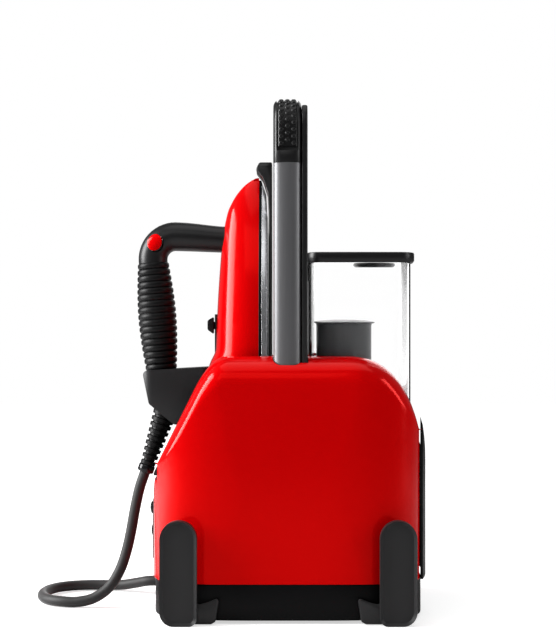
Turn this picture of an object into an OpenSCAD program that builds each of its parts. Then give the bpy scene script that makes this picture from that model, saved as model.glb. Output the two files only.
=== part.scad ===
// Compact steam ironing station: a housing with a boiler and a lift-out water tank,
// a sliding carry handle, and an iron docked upright against a rest.
// +X points to the rear, -X to the iron, +Z up, origin under the middle of the object.

/* [Housing] */
// Length of the housing over its side shells
shell_l = 283; // [270:1:345]
// Width across the two side shells
shell_w = 188; // [180:1:230]
// Height of the shoulders above the floor
shell_h = 269; // [262:1:330]
// Height of the seam between base tray and shells
seam_h = 39; // [34:1:48]
// Wall of the shells and panels
wall = 2.6; // [2:0.1:3.4]
// Height of the base tray's underside above the floor
base_lift = 3; // [2:0.5:6]
// How far the rear cover bulges past the side shells
rear_bulge = 5; // [2:0.5:12]

/* [Carry handle] */
// Distance from the front of the housing to the handle legs, over the iron dock (mm)
dock_l = 126.2; // [120:0.2:150]
// Depth of a handle leg, front to rear
leg_d = 29; // [24:0.5:32]
// Thickness of a handle leg, side to side
leg_t = 19; // [16:0.5:22]
// Height of the handle's top above the shoulders
handle_rise = 266; // [230:1:300]
// How far the handle slides down
handle_travel = 110; // [60:5:120]
// Length of the moulded bar down each leg, with the rubber inlay
bar_drop = 69; // [50:1:80]
// Depth of the trim strip on the rear of each leg
trim_d = 6; // [4:0.5:8]

/* [Iron] */
// Length of the iron from heel to tip
iron_l = 219.5; // [200:0.5:240]
// Thickness of the soleplate
sole_t = 5.8; // [4:0.2:8]
// Thickness of the heat skirt
skirt_t = 3.2; // [2:0.2:5]
// Height of the iron's shell above its skirt
iron_h = 47; // [42:0.5:52]
// Diameter of the handle arm and of the ribbed grip
grip_d = 33; // [28:0.5:36]
// How much the grip swells in its middle, on its radius (mm)
grip_swell = 4; // [0:0.5:6]
// Distance of the grip's outer side from the soleplate's face
grip_reach = 139.5; // [132:0.5:150]
// Length of the ribbed grip
grip_l = 121; // [110:1:130]
// Number of ribs on the grip
grip_ribs = 17; // [8:1:20]

/* [Water tank] */
// Height of the tank's rim above the shoulders
tank_rise = 96.5; // [80:0.5:120]
// Depth of the tank bay below the shoulders
bay_depth = 119; // [100:1:125]
// Wall of the clear tank
tank_wall = 2.5; // [2:0.1:3]
// Thickness of the lid
lid_t = 10.8; // [9:0.2:13]
// Diameter of the filter cup
filter_d = 60; // [50:1:64]

/* [Bumpers] */
// Width of a corner bumper
bumper_w = 37; // [30:1:42]
// Height of a corner bumper
bumper_h = 105; // [90:1:120]
// Thickness of a corner bumper
bumper_t = 11; // [8:0.5:14]
// How far the bumpers stand out past the side shells
bumper_out = 13; // [11:0.5:18]

/* [Boiler] */
// Diameter of the boiler
boiler_d = 88; // [76:1:92]
// Length of the boiler between its domed ends
boiler_l = 84; // [70:1:96]
// Diameter of the steam cord
cord_d = 11.5; // [9:0.5:13]

/* [Fits] */
// Gap between mouldings that are fixed together
seam_gap = 0.4; // [0.3:0.1:0.6]
// Gap around a moulding that slides or lifts out
slide_gap = 0.8; // [0.6:0.1:1.2]
// Radial clearance of a hinge pin
pin_gap = 0.05; // [0.03:0.01:0.1]

/* [Hidden] */
$fn = 48;
eps = 0.01;
far = 700;

// The iron rest in front of the handle legs, and the gaps on its two sides
rest_t = 4;
rest_gap = 1.5;
sole_gap = 1;

// The middle of the housing is placed so that the whole object is centred on X
front_reach = rest_gap + rest_t + sole_gap + grip_reach - dock_l;
x_mid = (front_reach - rear_bulge) / 2;
x_front = x_mid - shell_l / 2;
x_rear = x_mid + shell_l / 2;

// Handle legs, guides and the cheeks beside the iron dock
leg_x0 = x_front + dock_l;
leg_y1 = shell_w / 2 - 11;
leg_y0 = leg_y1 - leg_t;
leg_y = (leg_y0 + leg_y1) / 2;
leg_r = 8;
guide_wall = 2;
cheek_y = leg_y0 - slide_gap - guide_wall - seam_gap;
deck_wall = 3;
deck_y = cheek_y - seam_gap;
dock_y = deck_y - deck_wall;
handle_top = shell_h + handle_rise;
bar_z = handle_top - leg_t / 2;
bend_r = 18;
collar_h = 12;
shoe_h = 28;
trim_w = leg_t - 5;

// Levels of the deck and of the dock's floor
deck_z = shell_h - 7;
floor_z = shell_h - 34;
slope_z = shell_h - 124;
shoulder_r = 30;
guide_top = deck_z - 11;
guide_neck = 8;
shoe_top = guide_top - guide_neck - seam_gap;
shoe_z = shoe_top - shoe_h;
guide_z = shoe_z - handle_travel - 4;
inlay_depth = 1.6;
inlay_w = 21;
inlay_z = handle_top - bar_drop + collar_h;

// Rear cover: the radius of its plan, and the mains inlet in it
rear_r = 235;
inlet_z = seam_h + 31;
inlet_w = 28;
inlet_h = 26;
vent_h = 4;
vent_pitch = 9;

// Webs of the bumpers, and the control strip with its two buttons
web_y = shell_w / 2 - 22;
bezel_y = 10;
bezel_z0 = seam_h + 13;
bezel_z1 = bezel_z0 + 64;
bezel_x0 = x_front - 2.8;
bezel_x1 = x_front + 1.5;
power_z = bezel_z1 - 10;
mode_z = bezel_z1 - 34;
press = 1.2;

// Iron rest and the iron docked on it
rest_x1 = leg_x0 - rest_gap;
rest_x0 = rest_x1 - rest_t;
sole_x = rest_x0 - sole_gap;
pad_t = 4;
heel_z = floor_z + pad_t + 1;
tip_z = heel_z + iron_l;
iron_w = 2 * (dock_y - 3);
skirt_x = sole_x - sole_t;
cover_x = skirt_x - skirt_t;
spine_x = cover_x - iron_h;
rest_top = tip_z + 15;
// Underside of the hook, from its tip to the face of the rest
hook_line = [[-13.3, 6.5], [-6.3, -2.1], [-1, -18.5], [0, -40]];
hook_clear = 1.2;

// Handle of the iron: an arm, an elbow and a leaning grip
elbow_r = grip_d / 2 + 8;
arm_z = heel_z + 156.5;
elbow_x = sole_x - grip_reach + grip_d / 2 + elbow_r;
elbow_z = arm_z - elbow_r;
grip_lean = 4.4;
core_d = grip_d - 10;
button_angle = 39;
button_w = 14;
button_stroke = 2.5;
button_seat = elbow_r - 3;
heel_face = cover_x - iron_h - 8;

// Selector on the iron's spine
selector_z = heel_z + 61;
selector_h = 19;
track_z = heel_z + 31;
selector_travel = 14;

// Water tank, its lid and filter
tank_x0 = leg_x0 + leg_d + trim_d + 2.4;
tank_x1 = x_rear - 14;
tank_y = dock_y - 0.6;
tank_r = 14;
bay_z = shell_h - bay_depth;
bay_wall = 2.4;
bay_gap = 1.1;
bay_x0 = tank_x0 - bay_gap - bay_wall;
bay_x1 = tank_x1 + bay_gap + bay_wall;
bay_rear_z = shell_h - 45;
tank_z = bay_z + bay_wall + 0.6;
tank_top = shell_h + tank_rise;
lid_z = tank_top + 0.2;
lid_x0 = tank_x0 - 1.1;
lid_x1 = tank_x1 + 4;
lid_y = tank_y + 1.2;
hinge_x = tank_x0 + 0.5;
hinge_z = lid_z + 1.4;
hinge_pin_d = 3;
knuckle_y = 8;
bracket_y = 14;
filter_x = tank_x0 + tank_wall + filter_d / 2 + 5;
filter_top = shell_h + 33.5;
filter_z = filter_top - 90;
brim_r = filter_d / 2 + 3.4;
neck_d = 26;
neck_bore = 18;
neck_z = tank_z - 12;
lip_h = 2;

// Boiler and the pieces around it
boiler_x = x_front + 71;
boiler_z = base_lift + 107;
jacket_t = 4;
floor_t = 3;
tray_floor = base_lift + floor_t;
valve_z = tray_floor + 22;
socket_z = neck_z - 8;
pump_x = tank_x0 + 40;
drain_d = 14;

// Steam cord: its end collar on the iron, the way round on the floor, the gland on the base
cord_route = [
    [-146, 0, 144], [-152, 0, 126], [-157, 0, 103], [-161, -1, 80], [-166, -2, 58],
    [-173, -4, 38], [-184, -7, 21], [-200, -9, 10], [-218, -9, 6], [-235, -6, 6],
    [-249, 3, 6], [-258, 18, 6], [-262, 38, 6], [-260, 58, 6], [-252, 75, 6],
    [-238, 86, 6], [-220, 91, 6], [-200, 91, 6], [-181, 86, 7], [-164, 76, 11],
    [-150, 66, 15], [-136, 63, 16]
];
cord_sides = 10;

// Axis of the strain relief, as x and z, from the iron's heel down to the start of the cord,
// and the gland in which the cord ends
relief_top = [sole_x - 110.6, heel_z - 34];
relief_end = [sole_x - 131.6, heel_z - 96];
relief_v = relief_end - relief_top;
relief_l = norm(relief_v);
relief_tilt = atan2(relief_v.x, relief_v.y);
relief_collar_h = 8.2;
relief_slots = 8;
gland = [x_front - 1.9, shell_w / 2 - 31, base_lift + 13];

function unit(v) = v / norm(v);

// Points of an arc that rounds corner b of the path a, b, c
function corner_arc(a, b, c, r, steps) =
    let (u = unit(a - b), v = unit(c - b), half = acos(u * v) / 2,
         centre = b + unit(u + v) * r / sin(half),
         start = b + u * r / tan(half) - centre,
         finish = b + v * r / tan(half) - centre,
         from = atan2(start.y, start.x),
         turn = (atan2(finish.y, finish.x) - from + 540) % 360 - 180)
    [for (i = [0:steps]) centre + r * [cos(from + turn * i / steps), sin(from + turn * i / steps)]];

// Outline through corners [x, y, radius], with an arc wherever the radius isn't 0
function rounded(corners, steps = 8) =
    let (n = len(corners))
    [for (i = [0:n - 1])
        let (a = corners[(i + n - 1) % n], b = corners[i], c = corners[(i + 1) % n])
        each b[2] > 0
            ? corner_arc([a.x, a.y], [b.x, b.y], [c.x, c.y], b[2], steps)
            : [[b.x, b.y]]];

// Outline moved inwards by t, for an outline that runs anticlockwise
function inset(p, t) =
    let (n = len(p))
    [for (i = [0:n - 1])
        let (u = unit(p[i] - p[(i + n - 1) % n]), v = unit(p[(i + 1) % n] - p[i]))
        p[i] + [-u.y - v.y, u.x + v.x] * t / (1 + u * v)];

function superellipse(a, b, power, steps) =
    [for (i = [0:steps - 1])
        let (c = cos(360 * i / steps), s = sin(360 * i / steps))
        [a * sign(c) * pow(abs(c), 2 / power), b * sign(s) * pow(abs(s), 2 / power)]];

function moved(p, d) = [for (q = p) q + d];

// Outlines of the housing: from above, from the side and from the front
plan = moved(superellipse(shell_l / 2, shell_w / 2, 4, 72), [x_mid, 0]);
rear_round = [82, 150];
side = concat(
    [[x_front, 0], [x_rear, 0]],
    [for (i = [0:16])
        let (c = cos(90 * i / 16), s = sin(90 * i / 16))
        [x_rear - rear_round.x * (1 - pow(c, 2 / 2.4)),
         shell_h - rear_round.y * (1 - pow(s, 2 / 2.4))]],
    corner_arc([0, shell_h], [x_front + 62, shell_h], [x_front, slope_z], 44, 8),
    corner_arc([x_front + 62, shell_h], [x_front, slope_z], [x_front, 0], 30, 6)
);
cross = rounded([
    [-shell_w / 2 + 3, 0, 0], [shell_w / 2 - 3, 0, 0],
    [shell_w / 2, shell_h * 0.45, 200], [shell_w / 2 - 2, shell_h, shoulder_r],
    [-shell_w / 2 + 2, shell_h, shoulder_r], [-shell_w / 2, shell_h * 0.45, 200]
]);

// Outline of the iron seen on its soleplate, with y sideways and z from heel to tip
function iron_side(t, w, h) =
    let (z = h * t, r = 18, corner = z < r ? r * (1 - sqrt(1 - pow(1 - z / r, 2))) : 0)
    [w * pow(1 - pow(t, 2.6), 0.9) - corner, z];
function iron_outline(t) =
    let (w = iron_w / 2 - t, h = iron_l - 3 * t, k = [0, 0.01, 0.025, 0.05, 0.08,
         for (i = [4:28]) i / 30, 0.96, 0.98])
    moved(concat([for (q = k) iron_side(q, w, h)], [[0, h]],
        [for (i = [len(k) - 1:-1:0]) let (q = iron_side(k[i], w, h)) [-q.x, q.y]]),
        [0, heel_z + t]);
iron_side_view = rounded([
    [cover_x, tip_z, 0], [cover_x - 27, tip_z - 22, 26], [cover_x - 36.5, tip_z - 52, 50],
    [cover_x - 43.6, tip_z - 119, 300], [spine_x, heel_z + 33, 14], [heel_face, heel_z + 16, 4],
    [heel_face, heel_z, 3], [cover_x, heel_z, 0]
]);
iron_dome = moved(superellipse(iron_h + 3, iron_w / 2 - 1.5, 2.4, 64), [cover_x, 0]);

// Extrudes an outline of x and z along Y, centred on y
module along_y(w, y = 0) {
    translate([0, y + w / 2, 0]) rotate([90, 0, 0]) linear_extrude(w) children();
}

// Extrudes an outline of y and z along X, from x
module along_x(l, x) {
    translate([x, 0, 0]) rotate([90, 0, 90]) linear_extrude(l) children();
}

// Repeats its children on both sides, at +Y and -Y
module both_sides() {
    children();
    mirror([0, 1, 0]) children();
}

module block(x0, x1, y0, y1, z0, z1) {
    translate([x0, y0, z0]) cube([x1 - x0, y1 - y0, z1 - z0]);
}

module rod(d, x, y, z0, z1) {
    translate([x, y, z0]) cylinder(d = d, h = z1 - z0);
}

module rod_y(d, x, z, y0, y1) {
    translate([x, y0, z]) rotate([-90, 0, 0]) cylinder(d = d, h = y1 - y0);
}

module rod_x(d, y, z, x0, x1) {
    translate([x0, y, z]) rotate([0, 90, 0]) cylinder(d = d, h = x1 - x0);
}

// Rounded rectangle from corner to corner, made of true arcs
module round_rect(x0, x1, y0, y1, r) {
    translate([x0 + r, y0]) square([x1 - x0 - 2 * r, y1 - y0]);
    translate([x0, y0 + r]) square([x1 - x0, y1 - y0 - 2 * r]);
    for (x = [x0 + r, x1 - r], y = [y0 + r, y1 - r]) translate([x, y]) circle(r = r);
}

// Solid form of the housing, each face moved inwards by t
module housing_form(t, z0 = 0) {
    intersection() {
        along_y(2 * far) polygon(inset(side, t));
        translate([0, 0, z0]) linear_extrude(far) polygon(inset(plan, t));
        along_x(2 * far, -far) polygon(inset(cross, t));
    }
}

// Section of a handle leg with its trim strip, grown by g
module leg_section(g) {
    round_rect(leg_x0 - g, leg_x0 + leg_d + g, leg_y0 - g, leg_y1 + g, leg_r + g);
    translate([leg_x0 + leg_d - 4, leg_y - trim_w / 2 - g])
        square([trim_d + 4 + g, trim_w + 2 * g]);
}

// ---- Housing ----

module base_tray() {
    color([0.03, 0.03, 0.035]) difference() {
        translate([0, 0, base_lift]) linear_extrude(seam_h - base_lift) polygon(inset(plan, 2));
        translate([0, 0, tray_floor]) linear_extrude(far) polygon(inset(plan, 2 + wall));
        rod(drain_d + 10, boiler_x, 0, 0, seam_h);
        rod_x(15, gland.y, gland.z, gland.x, gland.x + 40);
        for (y = [-36, 36], x = [x_mid + 66, x_mid + 86, x_mid + 106])
            block(x, x + 8, y - 18, y + 18, 0, tray_floor + 1);
        at_screws() rod(3.8, 0, 0, 0, far);
    }
}

module side_shell() {
    color([0.72, 0.02, 0.02]) difference() {
        intersection() {
            housing_form(0, seam_h + seam_gap);
            block(-far, far, -far, -cheek_y, 0, far);
        }
        housing_form(wall);
        mirror([0, 1, 0]) linear_extrude(far) leg_section(slide_gap);
    }
}

module side_shell_right() { side_shell(); }

module side_shell_left() { mirror([0, 1, 0]) side_shell(); }

module front_panel() {
    color([0.75, 0.03, 0.03]) difference() {
        intersection() {
            housing_form(0, seam_h + seam_gap);
            block(-far, x_mid - 60, -deck_y, deck_y, 0, slope_z - 4);
        }
        housing_form(wall);
        block(x_front - 1, x_front + 1.5, -bezel_y - seam_gap, bezel_y + seam_gap,
            bezel_z0 - seam_gap, bezel_z1 + seam_gap);
        for (z = [power_z, mode_z]) rod_x(6, 0, z, x_front - 1, x_front + 8);
    }
}

module rear_cover() {
    top = bay_rear_z - 2;
    color([0.08, 0.08, 0.085]) difference() {
        intersection() {
            translate([0, 0, seam_h + seam_gap]) linear_extrude(top - seam_h)
                intersection() {
                    translate([x_rear + rear_bulge - rear_r, 0]) circle(r = rear_r, $fn = 180);
                    translate([x_mid + 60, -deck_y]) square([far, 2 * deck_y]);
                }
            along_y(far) polygon(moved(side, [rear_bulge, 0]));
        }
        translate([x_rear + rear_bulge - rear_r, 0, 0]) cylinder(r = rear_r - wall, h = far, $fn = 180);
        block(x_rear - 30, far, -inlet_w / 2, inlet_w / 2, inlet_z - inlet_h / 2,
            inlet_z + inlet_h / 2);
        for (k = [0:5]) let (z = inlet_z + 34 + vent_pitch * k) block(0, far, -26, 26, z, z + vent_h);
    }
}

// Line of the dock: up the slope, along the floor, up the step and along the deck
module deck_line(t) {
    polygon(rounded([
        [x_front + 3, slope_z + 1, 0], [x_front + 68, floor_z, 14], [rest_x0, floor_z, 6],
        [rest_x0, deck_z, 2], [bay_x0 - seam_gap, deck_z, 0],
        [bay_x0 - seam_gap, deck_z - t, 0], [rest_x0 + t, deck_z - t, 2],
        [rest_x0 + t, floor_z - t, 6], [x_front + 68 + 0.5 * t, floor_z - t, 14],
        [x_front + 3 + 1.2 * t, slope_z + 1, 0]
    ]));
}

module top_deck() {
    color([0.12, 0.12, 0.13]) {
        along_y(2 * deck_y) deck_line(deck_wall);
        both_sides() intersection() {
            along_y(deck_wall, dock_y + deck_wall / 2) polygon([
                [x_front + 3, slope_z + 1], [x_front + 68, floor_z - 1],
                [rest_x0, floor_z - 1], [rest_x0, far], [x_front, far]
            ]);
            along_y(2 * far) polygon(inset(side, 1));
        }
    }
}

module tank_bay() {
    color([0.1, 0.1, 0.11]) difference() {
        intersection() {
            translate([0, 0, bay_z]) linear_extrude(far)
                round_rect(bay_x0, bay_x1, -dock_y - bay_gap - 1, dock_y + bay_gap + 1, tank_r + 3);
            along_y(2 * far) polygon(inset(side, 2));
            block(-far, far, -deck_y, deck_y, 0, deck_z);
        }
        translate([0, 0, bay_z + bay_wall]) linear_extrude(far)
            round_rect(bay_x0 + bay_wall, bay_x1 - bay_wall, -tank_y - bay_gap, tank_y + bay_gap,
                tank_r + bay_gap);
        block(x_mid + 60, far, -dock_y + 8, dock_y - 8, bay_rear_z, far);
        rod(neck_d + 14 + 2 * seam_gap, filter_x, 0, 0, bay_z + bay_wall + 1);
    }
}

// Corner bumper at the front right: a stand-off paddle, and a web that joins it to the tray
module bumper() {
    y1 = -shell_w / 2 - bumper_out + bumper_t;
    x0 = x_front + 13;
    r = bumper_w / 2;
    color([0.13, 0.13, 0.14]) difference() {
        union() {
            along_y(bumper_t, y1 - bumper_t / 2) polygon(rounded([
                [x0, 0, 14], [x0 + bumper_w, 0, 8], [x0 + bumper_w, bumper_h, r - 0.1],
                [x0, bumper_h, r - 0.1]
            ], 12));
            along_y(-y1 - web_y, (y1 - web_y) / 2) polygon(rounded([
                [x0 + 8, 0, 0], [x0 + bumper_w + 14, 0, 4], [x0 + bumper_w + 22, 26, 6],
                [x0 + bumper_w + 13, 24, 6], [x0 + bumper_w - 2, 22, 4], [x0 + 8, 22, 0]
            ]));
        }
        translate([0, 0, base_lift - eps]) linear_extrude(far) polygon(inset(plan, 2 - seam_gap));
    }
}

module bumper_front_right() { bumper(); }

module bumper_front_left() { mirror([0, 1, 0]) bumper(); }

module bumper_rear_right() { translate([2 * x_mid, 0, 0]) mirror([1, 0, 0]) bumper(); }

module bumper_rear_left() {
    translate([2 * x_mid, 0, 0]) mirror([1, 0, 0]) mirror([0, 1, 0]) bumper();
}

// ---- Iron rest ----

module iron_rest() {
    half = iron_w / 2;
    color([0.2, 0.2, 0.21]) {
        intersection() {
            along_y(far) polygon(concat(
                [[rest_x1, deck_z], [rest_x1, rest_top], [rest_x0 - 9.6, rest_top]],
                moved(hook_line, [rest_x0, tip_z]), [[rest_x0, deck_z]]));
            along_x(far, -far / 2) polygon(rounded([
                [-half + 8, deck_z, 4], [half - 8, deck_z, 4], [half - 12, tip_z - 120, 60],
                [21, rest_top, 8], [-21, rest_top, 8], [-half + 12, tip_z - 120, 60]
            ]));
        }
        block(rest_x1 - 1, bay_x0 - 2, -30, 30, deck_z, deck_z + 4);
    }
}

module heel_pad() {
    color([0.3, 0.3, 0.31]) difference() {
        translate([0, 0, floor_z]) linear_extrude(pad_t)
            round_rect(spine_x + 6, rest_x0 - 7, -dock_y + 6, dock_y - 6, 6);
        for (y = [-36:12:36]) block(spine_x + 12, rest_x0 - 13, y - 2, y + 2, floor_z + 2, far);
    }
}

// ---- Carry handle and its guides ----

module handle_guides() {
    color([0.5, 0.5, 0.52]) both_sides() difference() {
        translate([0, 0, guide_z]) linear_extrude(guide_top - guide_z)
            leg_section(slide_gap + guide_wall);
        translate([0, 0, guide_z - 1]) linear_extrude(guide_top - guide_neck - guide_z + 1)
            leg_section(slide_gap);
        linear_extrude(far) leg_section(seam_gap);
    }
}

module handle_legs() {
    color([0.32, 0.32, 0.33]) both_sides() difference() {
        translate([0, 0, shoe_z]) linear_extrude(handle_top - bar_drop - shoe_z)
            round_rect(leg_x0, leg_x0 + leg_d, leg_y0, leg_y1, leg_r);
        translate([0, 0, shoe_z - 1]) linear_extrude(far)
            round_rect(leg_x0 + 2, leg_x0 + leg_d - 2, leg_y0 + 2, leg_y1 - 2, leg_r - 2);
    }
}

// The moulded bar across the top, with a spigot down into each leg
module handle_bar() {
    corner_y = leg_y - bend_r;
    corner_z = bar_z - bend_r;
    leg_end = handle_top - bar_drop;
    color([0.1, 0.1, 0.11]) difference() {
        union() {
            both_sides() {
                translate([0, 0, leg_end]) linear_extrude(corner_z - leg_end)
                    round_rect(leg_x0, leg_x0 + leg_d, leg_y0, leg_y1, leg_r);
                translate([leg_x0, corner_y, corner_z]) rotate([90, 0, 90])
                    rotate_extrude(angle = 90) translate([bend_r, 0]) rotate(90)
                        round_rect(0, leg_d, -leg_t / 2, leg_t / 2, leg_r);
                translate([0, 0, leg_end - 24]) linear_extrude(24)
                    round_rect(leg_x0 + 2.2, leg_x0 + leg_d - 2.2, leg_y0 + 2.2, leg_y1 - 2.2,
                        leg_r - 2.2);
            }
            translate([leg_x0, corner_y, bar_z]) rotate([90, 0, 0]) linear_extrude(2 * corner_y)
                round_rect(0, leg_d, -leg_t / 2, leg_t / 2, leg_r);
        }
        inlay_form(inlay_depth, 3);
    }
}

// Band along the outside of the bar, from one collar over the top to the other:
// t deep, and out past the bar by rise
module inlay_form(t, rise) {
    x0 = leg_x0 + (leg_d - inlay_w) / 2;
    intersection() {
        difference() {
            along_x(inlay_w, x0) handle_outline(-rise);
            along_x(inlay_w + 2, x0 - 1) handle_outline(t);
        }
        block(-far, far, -far, far, inlay_z, far);
    }
}

// Outer outline of the handle in y and z, t further in
module handle_outline(t) {
    w = leg_y1 - t;
    r = bend_r + leg_t / 2 - t;
    translate([-w, 0]) square([2 * w, handle_top - t - r]);
    translate([-w + r, 0]) square([2 * (w - r), handle_top - t]);
    for (s = [-1, 1]) translate([s * (w - r), handle_top - t - r]) circle(r = r, $fn = 96);
}

module handle_inlay() { color([0.05, 0.05, 0.055]) inlay_form(inlay_depth, 0); }

// Strip along the rear of each leg, up to the bar
module handle_trims() {
    color([0.14, 0.14, 0.15]) both_sides() along_x(trim_d, leg_x0 + leg_d) intersection() {
        handle_outline((leg_t - trim_w) / 2);
        translate([leg_y - trim_w / 2, shoe_z + 6]) square([trim_w, bar_z - shoe_z - 6]);
    }
}

module handle_shoes() {
    color([0.85, 0.85, 0.82]) both_sides() difference() {
        translate([0, 0, shoe_z - 6]) linear_extrude(shoe_h + 6) leg_section(seam_gap);
        translate([0, 0, shoe_z]) linear_extrude(far)
            round_rect(leg_x0, leg_x0 + leg_d, leg_y0, leg_y1, leg_r);
        translate([leg_x0 + leg_d, leg_y - trim_w / 2, shoe_z + 6]) cube([trim_d, trim_w, far]);
    }
}

// ---- Inside the housing ----

module boiler() {
    color([0.75, 0.76, 0.78]) difference() {
        union() {
            rod_y(boiler_d, boiler_x, boiler_z, -boiler_l / 2, boiler_l / 2);
            both_sides() intersection() {
                translate([boiler_x, boiler_l / 2 - boiler_d * 0.6, boiler_z])
                    sphere(r = boiler_d * 0.78);
                rod_y(boiler_d, boiler_x, boiler_z, boiler_l / 2, boiler_l);
            }
            rod(drain_d + 6, boiler_x, 0, base_lift + 10, boiler_z);
        }
        rod_y(boiler_d - 4, boiler_x, boiler_z, -boiler_l / 2, boiler_l / 2);
        rod(drain_d + 0.4, boiler_x, 0, 0, boiler_z);
    }
}

module boiler_jacket() {
    color([0.8, 0.78, 0.7]) difference() {
        rod_y(boiler_d + 2 * jacket_t, boiler_x, boiler_z, -boiler_l / 2 + 4, boiler_l / 2 - 4);
        rod_y(boiler_d, boiler_x, boiler_z, -boiler_l, boiler_l);
        rod(drain_d + 8, boiler_x, 0, 0, boiler_z);
        for (x = [-18, 18]) rod(17, boiler_x + x, 0, boiler_z, far);
    }
}

module boiler_cradle() {
    jacket_r = boiler_d / 2 + jacket_t;
    color([0.6, 0.61, 0.63]) difference() {
        for (y = [-30, 22])
            block(boiler_x - 30, boiler_x + 30, y, y + 8, tray_floor, boiler_z - jacket_r + 16);
        rod_y(boiler_d + 2 * jacket_t + 2 * seam_gap, boiler_x, boiler_z, -far, far);
    }
}

module boiler_heater() {
    y = boiler_l / 2 + boiler_d * 0.18;
    color([0.7, 0.68, 0.6]) {
        rod_y(34, boiler_x, boiler_z - 14, y, y + 4);
        for (x = [-8, 8]) rod_y(6, boiler_x + x, boiler_z - 14, y + 4, y + 10);
    }
}

// A fitting that stands on top of the boiler, at x from its middle
module boiler_fitting(x, d, h) {
    rod(16, boiler_x + x, 0, boiler_z + boiler_d / 2 - 1, boiler_z + boiler_d / 2 + 8);
    rod(d, boiler_x + x, 0, boiler_z + boiler_d / 2 + 8, boiler_z + boiler_d / 2 + h);
}

module safety_valve() { color([0.8, 0.65, 0.3]) boiler_fitting(-18, 12, 20); }

module pressure_switch() { color([0.85, 0.85, 0.88]) boiler_fitting(18, 22, 22); }

module steam_valve() {
    x = x_front + 24;
    color([0.55, 0.56, 0.58]) {
        block(x, x + 14, 16, 48, tray_floor, valve_z);
        rod(12, x + 7, 26, valve_z, valve_z + 24);
    }
}

module pump() {
    color([0.4, 0.42, 0.45]) {
        rod_x(32, 0, tray_floor + 18, pump_x - 26, pump_x + 22);
        rod_x(12, 0, tray_floor + 18, pump_x + 22, pump_x + 34);
        block(pump_x - 20, pump_x + 16, -16, 16, tray_floor, tray_floor + 8);
    }
}

// Round hose through a short list of corners, with a ball in each corner
module hose(d, corners) {
    for (i = [0:len(corners) - 2]) {
        v = corners[i + 1] - corners[i];
        translate(corners[i]) rotate([0, acos(v.z / norm(v)), atan2(v.y, v.x)])
            cylinder(d = d, h = norm(v));
        if (i > 0) translate(corners[i]) sphere(d = d);
    }
}

module water_hose() {
    color([0.85, 0.85, 0.82]) hose(7, [
        [filter_x, 24, socket_z - 4], [filter_x, 32, socket_z - 4], [pump_x + 42, 32, socket_z - 4],
        [pump_x + 42, 32, tray_floor + 18], [pump_x + 42, 0, tray_floor + 18],
        [pump_x + 34, 0, tray_floor + 18]
    ]);
}

module steam_pipe() {
    x = x_front + 31;
    color([0.8, 0.5, 0.35]) hose(6, [
        [x, 48, gland.z], [x, gland.y, gland.z], [gland.x + 21, gland.y, gland.z]
    ]);
}

module control_board() {
    y = shell_w / 2 - 22;
    color([0.1, 0.4, 0.2]) {
        block(x_mid + 34, x_mid + 102, -y, -y + 1.6, tray_floor, tray_floor + 66);
        block(x_mid + 44, x_mid + 66, -y + 1.6, -y + 17, tray_floor + 10, tray_floor + 30);
        rod_y(18, x_mid + 84, tray_floor + 38, -y + 1.6, -y + 21.6);
    }
}

module switch_board() {
    color([0.1, 0.4, 0.2])
        block(x_front + 10, x_front + 11.6, -8, 8, seam_h + 4, bezel_z1 - 2);
}

module mains_inlet() {
    x0 = x_rear + rear_bulge - 26;
    x1 = x_rear + rear_bulge - 1.5;
    color([0.05, 0.05, 0.05]) difference() {
        block(x0, x1, seam_gap - inlet_w / 2, inlet_w / 2 - seam_gap,
            inlet_z - inlet_h / 2 + seam_gap, inlet_z + inlet_h / 2 - seam_gap);
        block(x1 - 18, far, -11, 11, inlet_z - 8, inlet_z + 9);
    }
    color([0.75, 0.76, 0.78]) for (y = [-7, 0, 7])
        block(x1 - 18, x1 - 4, y - 1, y + 1, inlet_z - 2, inlet_z + 3);
}

module tank_socket() {
    color([0.6, 0.6, 0.62]) difference() {
        union() {
            rod(neck_d + 14, filter_x, 0, socket_z - 8, bay_z + bay_wall - 0.2);
            rod_y(12, filter_x, socket_z - 4, 0, 24);
        }
        rod(neck_d + 2 * slide_gap, filter_x, 0, socket_z, far);
        rod_y(4, filter_x, socket_z - 4, 0, 25);
    }
}

module cord_gland() {
    color([0.05, 0.05, 0.055]) difference() {
        union() {
            rod_x(17, gland.y, gland.z, gland.x, gland.x + 7.4);
            rod_x(14.6, gland.y, gland.z, gland.x, gland.x + 20);
        }
        rod_x(7, gland.y, gland.z, gland.x + 6, gland.x + 21);
    }
}

module control_bezel() {
    color([0.04, 0.04, 0.045]) difference() {
        along_x(bezel_x1 - bezel_x0, bezel_x0) polygon(rounded([
            [-bezel_y, bezel_z0, 6], [bezel_y, bezel_z0, 6], [bezel_y, bezel_z1, 9],
            [-bezel_y, bezel_z1, 9]
        ]));
        rod_x(13.6, 0, power_z, x_front - 9, x_front + 9);
        rod_x(11.6, 0, mode_z, x_front - 9, x_front + 9);
    }
}

module push_button(d, z, dome) {
    rod_x(d, 0, z, bezel_x0 - 1, bezel_x1 - press - 0.6);
    rod_x(4.6, 0, z, bezel_x1 - press - 0.6, x_front + 10 - press - 0.4);
    intersection() {
        translate([bezel_x0 - 1 - dome + 14, 0, z]) sphere(r = 14);
        rod_x(d, 0, z, bezel_x0 - 9, bezel_x0 - 1);
    }
}

module power_button() { color([0.1, 0.1, 0.1]) push_button(13, power_z, 2.4); }

module mode_button() { color([0.1, 0.1, 0.1]) push_button(11, mode_z, 1.2); }

module drain_plug() {
    color([0.15, 0.15, 0.16]) difference() {
        union() {
            rod(drain_d + 8, boiler_x, 0, base_lift + 0.4, base_lift + 8);
            rod(drain_d + 0.2, boiler_x, 0, base_lift + 8, boiler_z - boiler_d / 2 - 4);
        }
        block(boiler_x - 1.5, boiler_x + 1.5, -9, 9, 0, base_lift + 4);
    }
}

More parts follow.
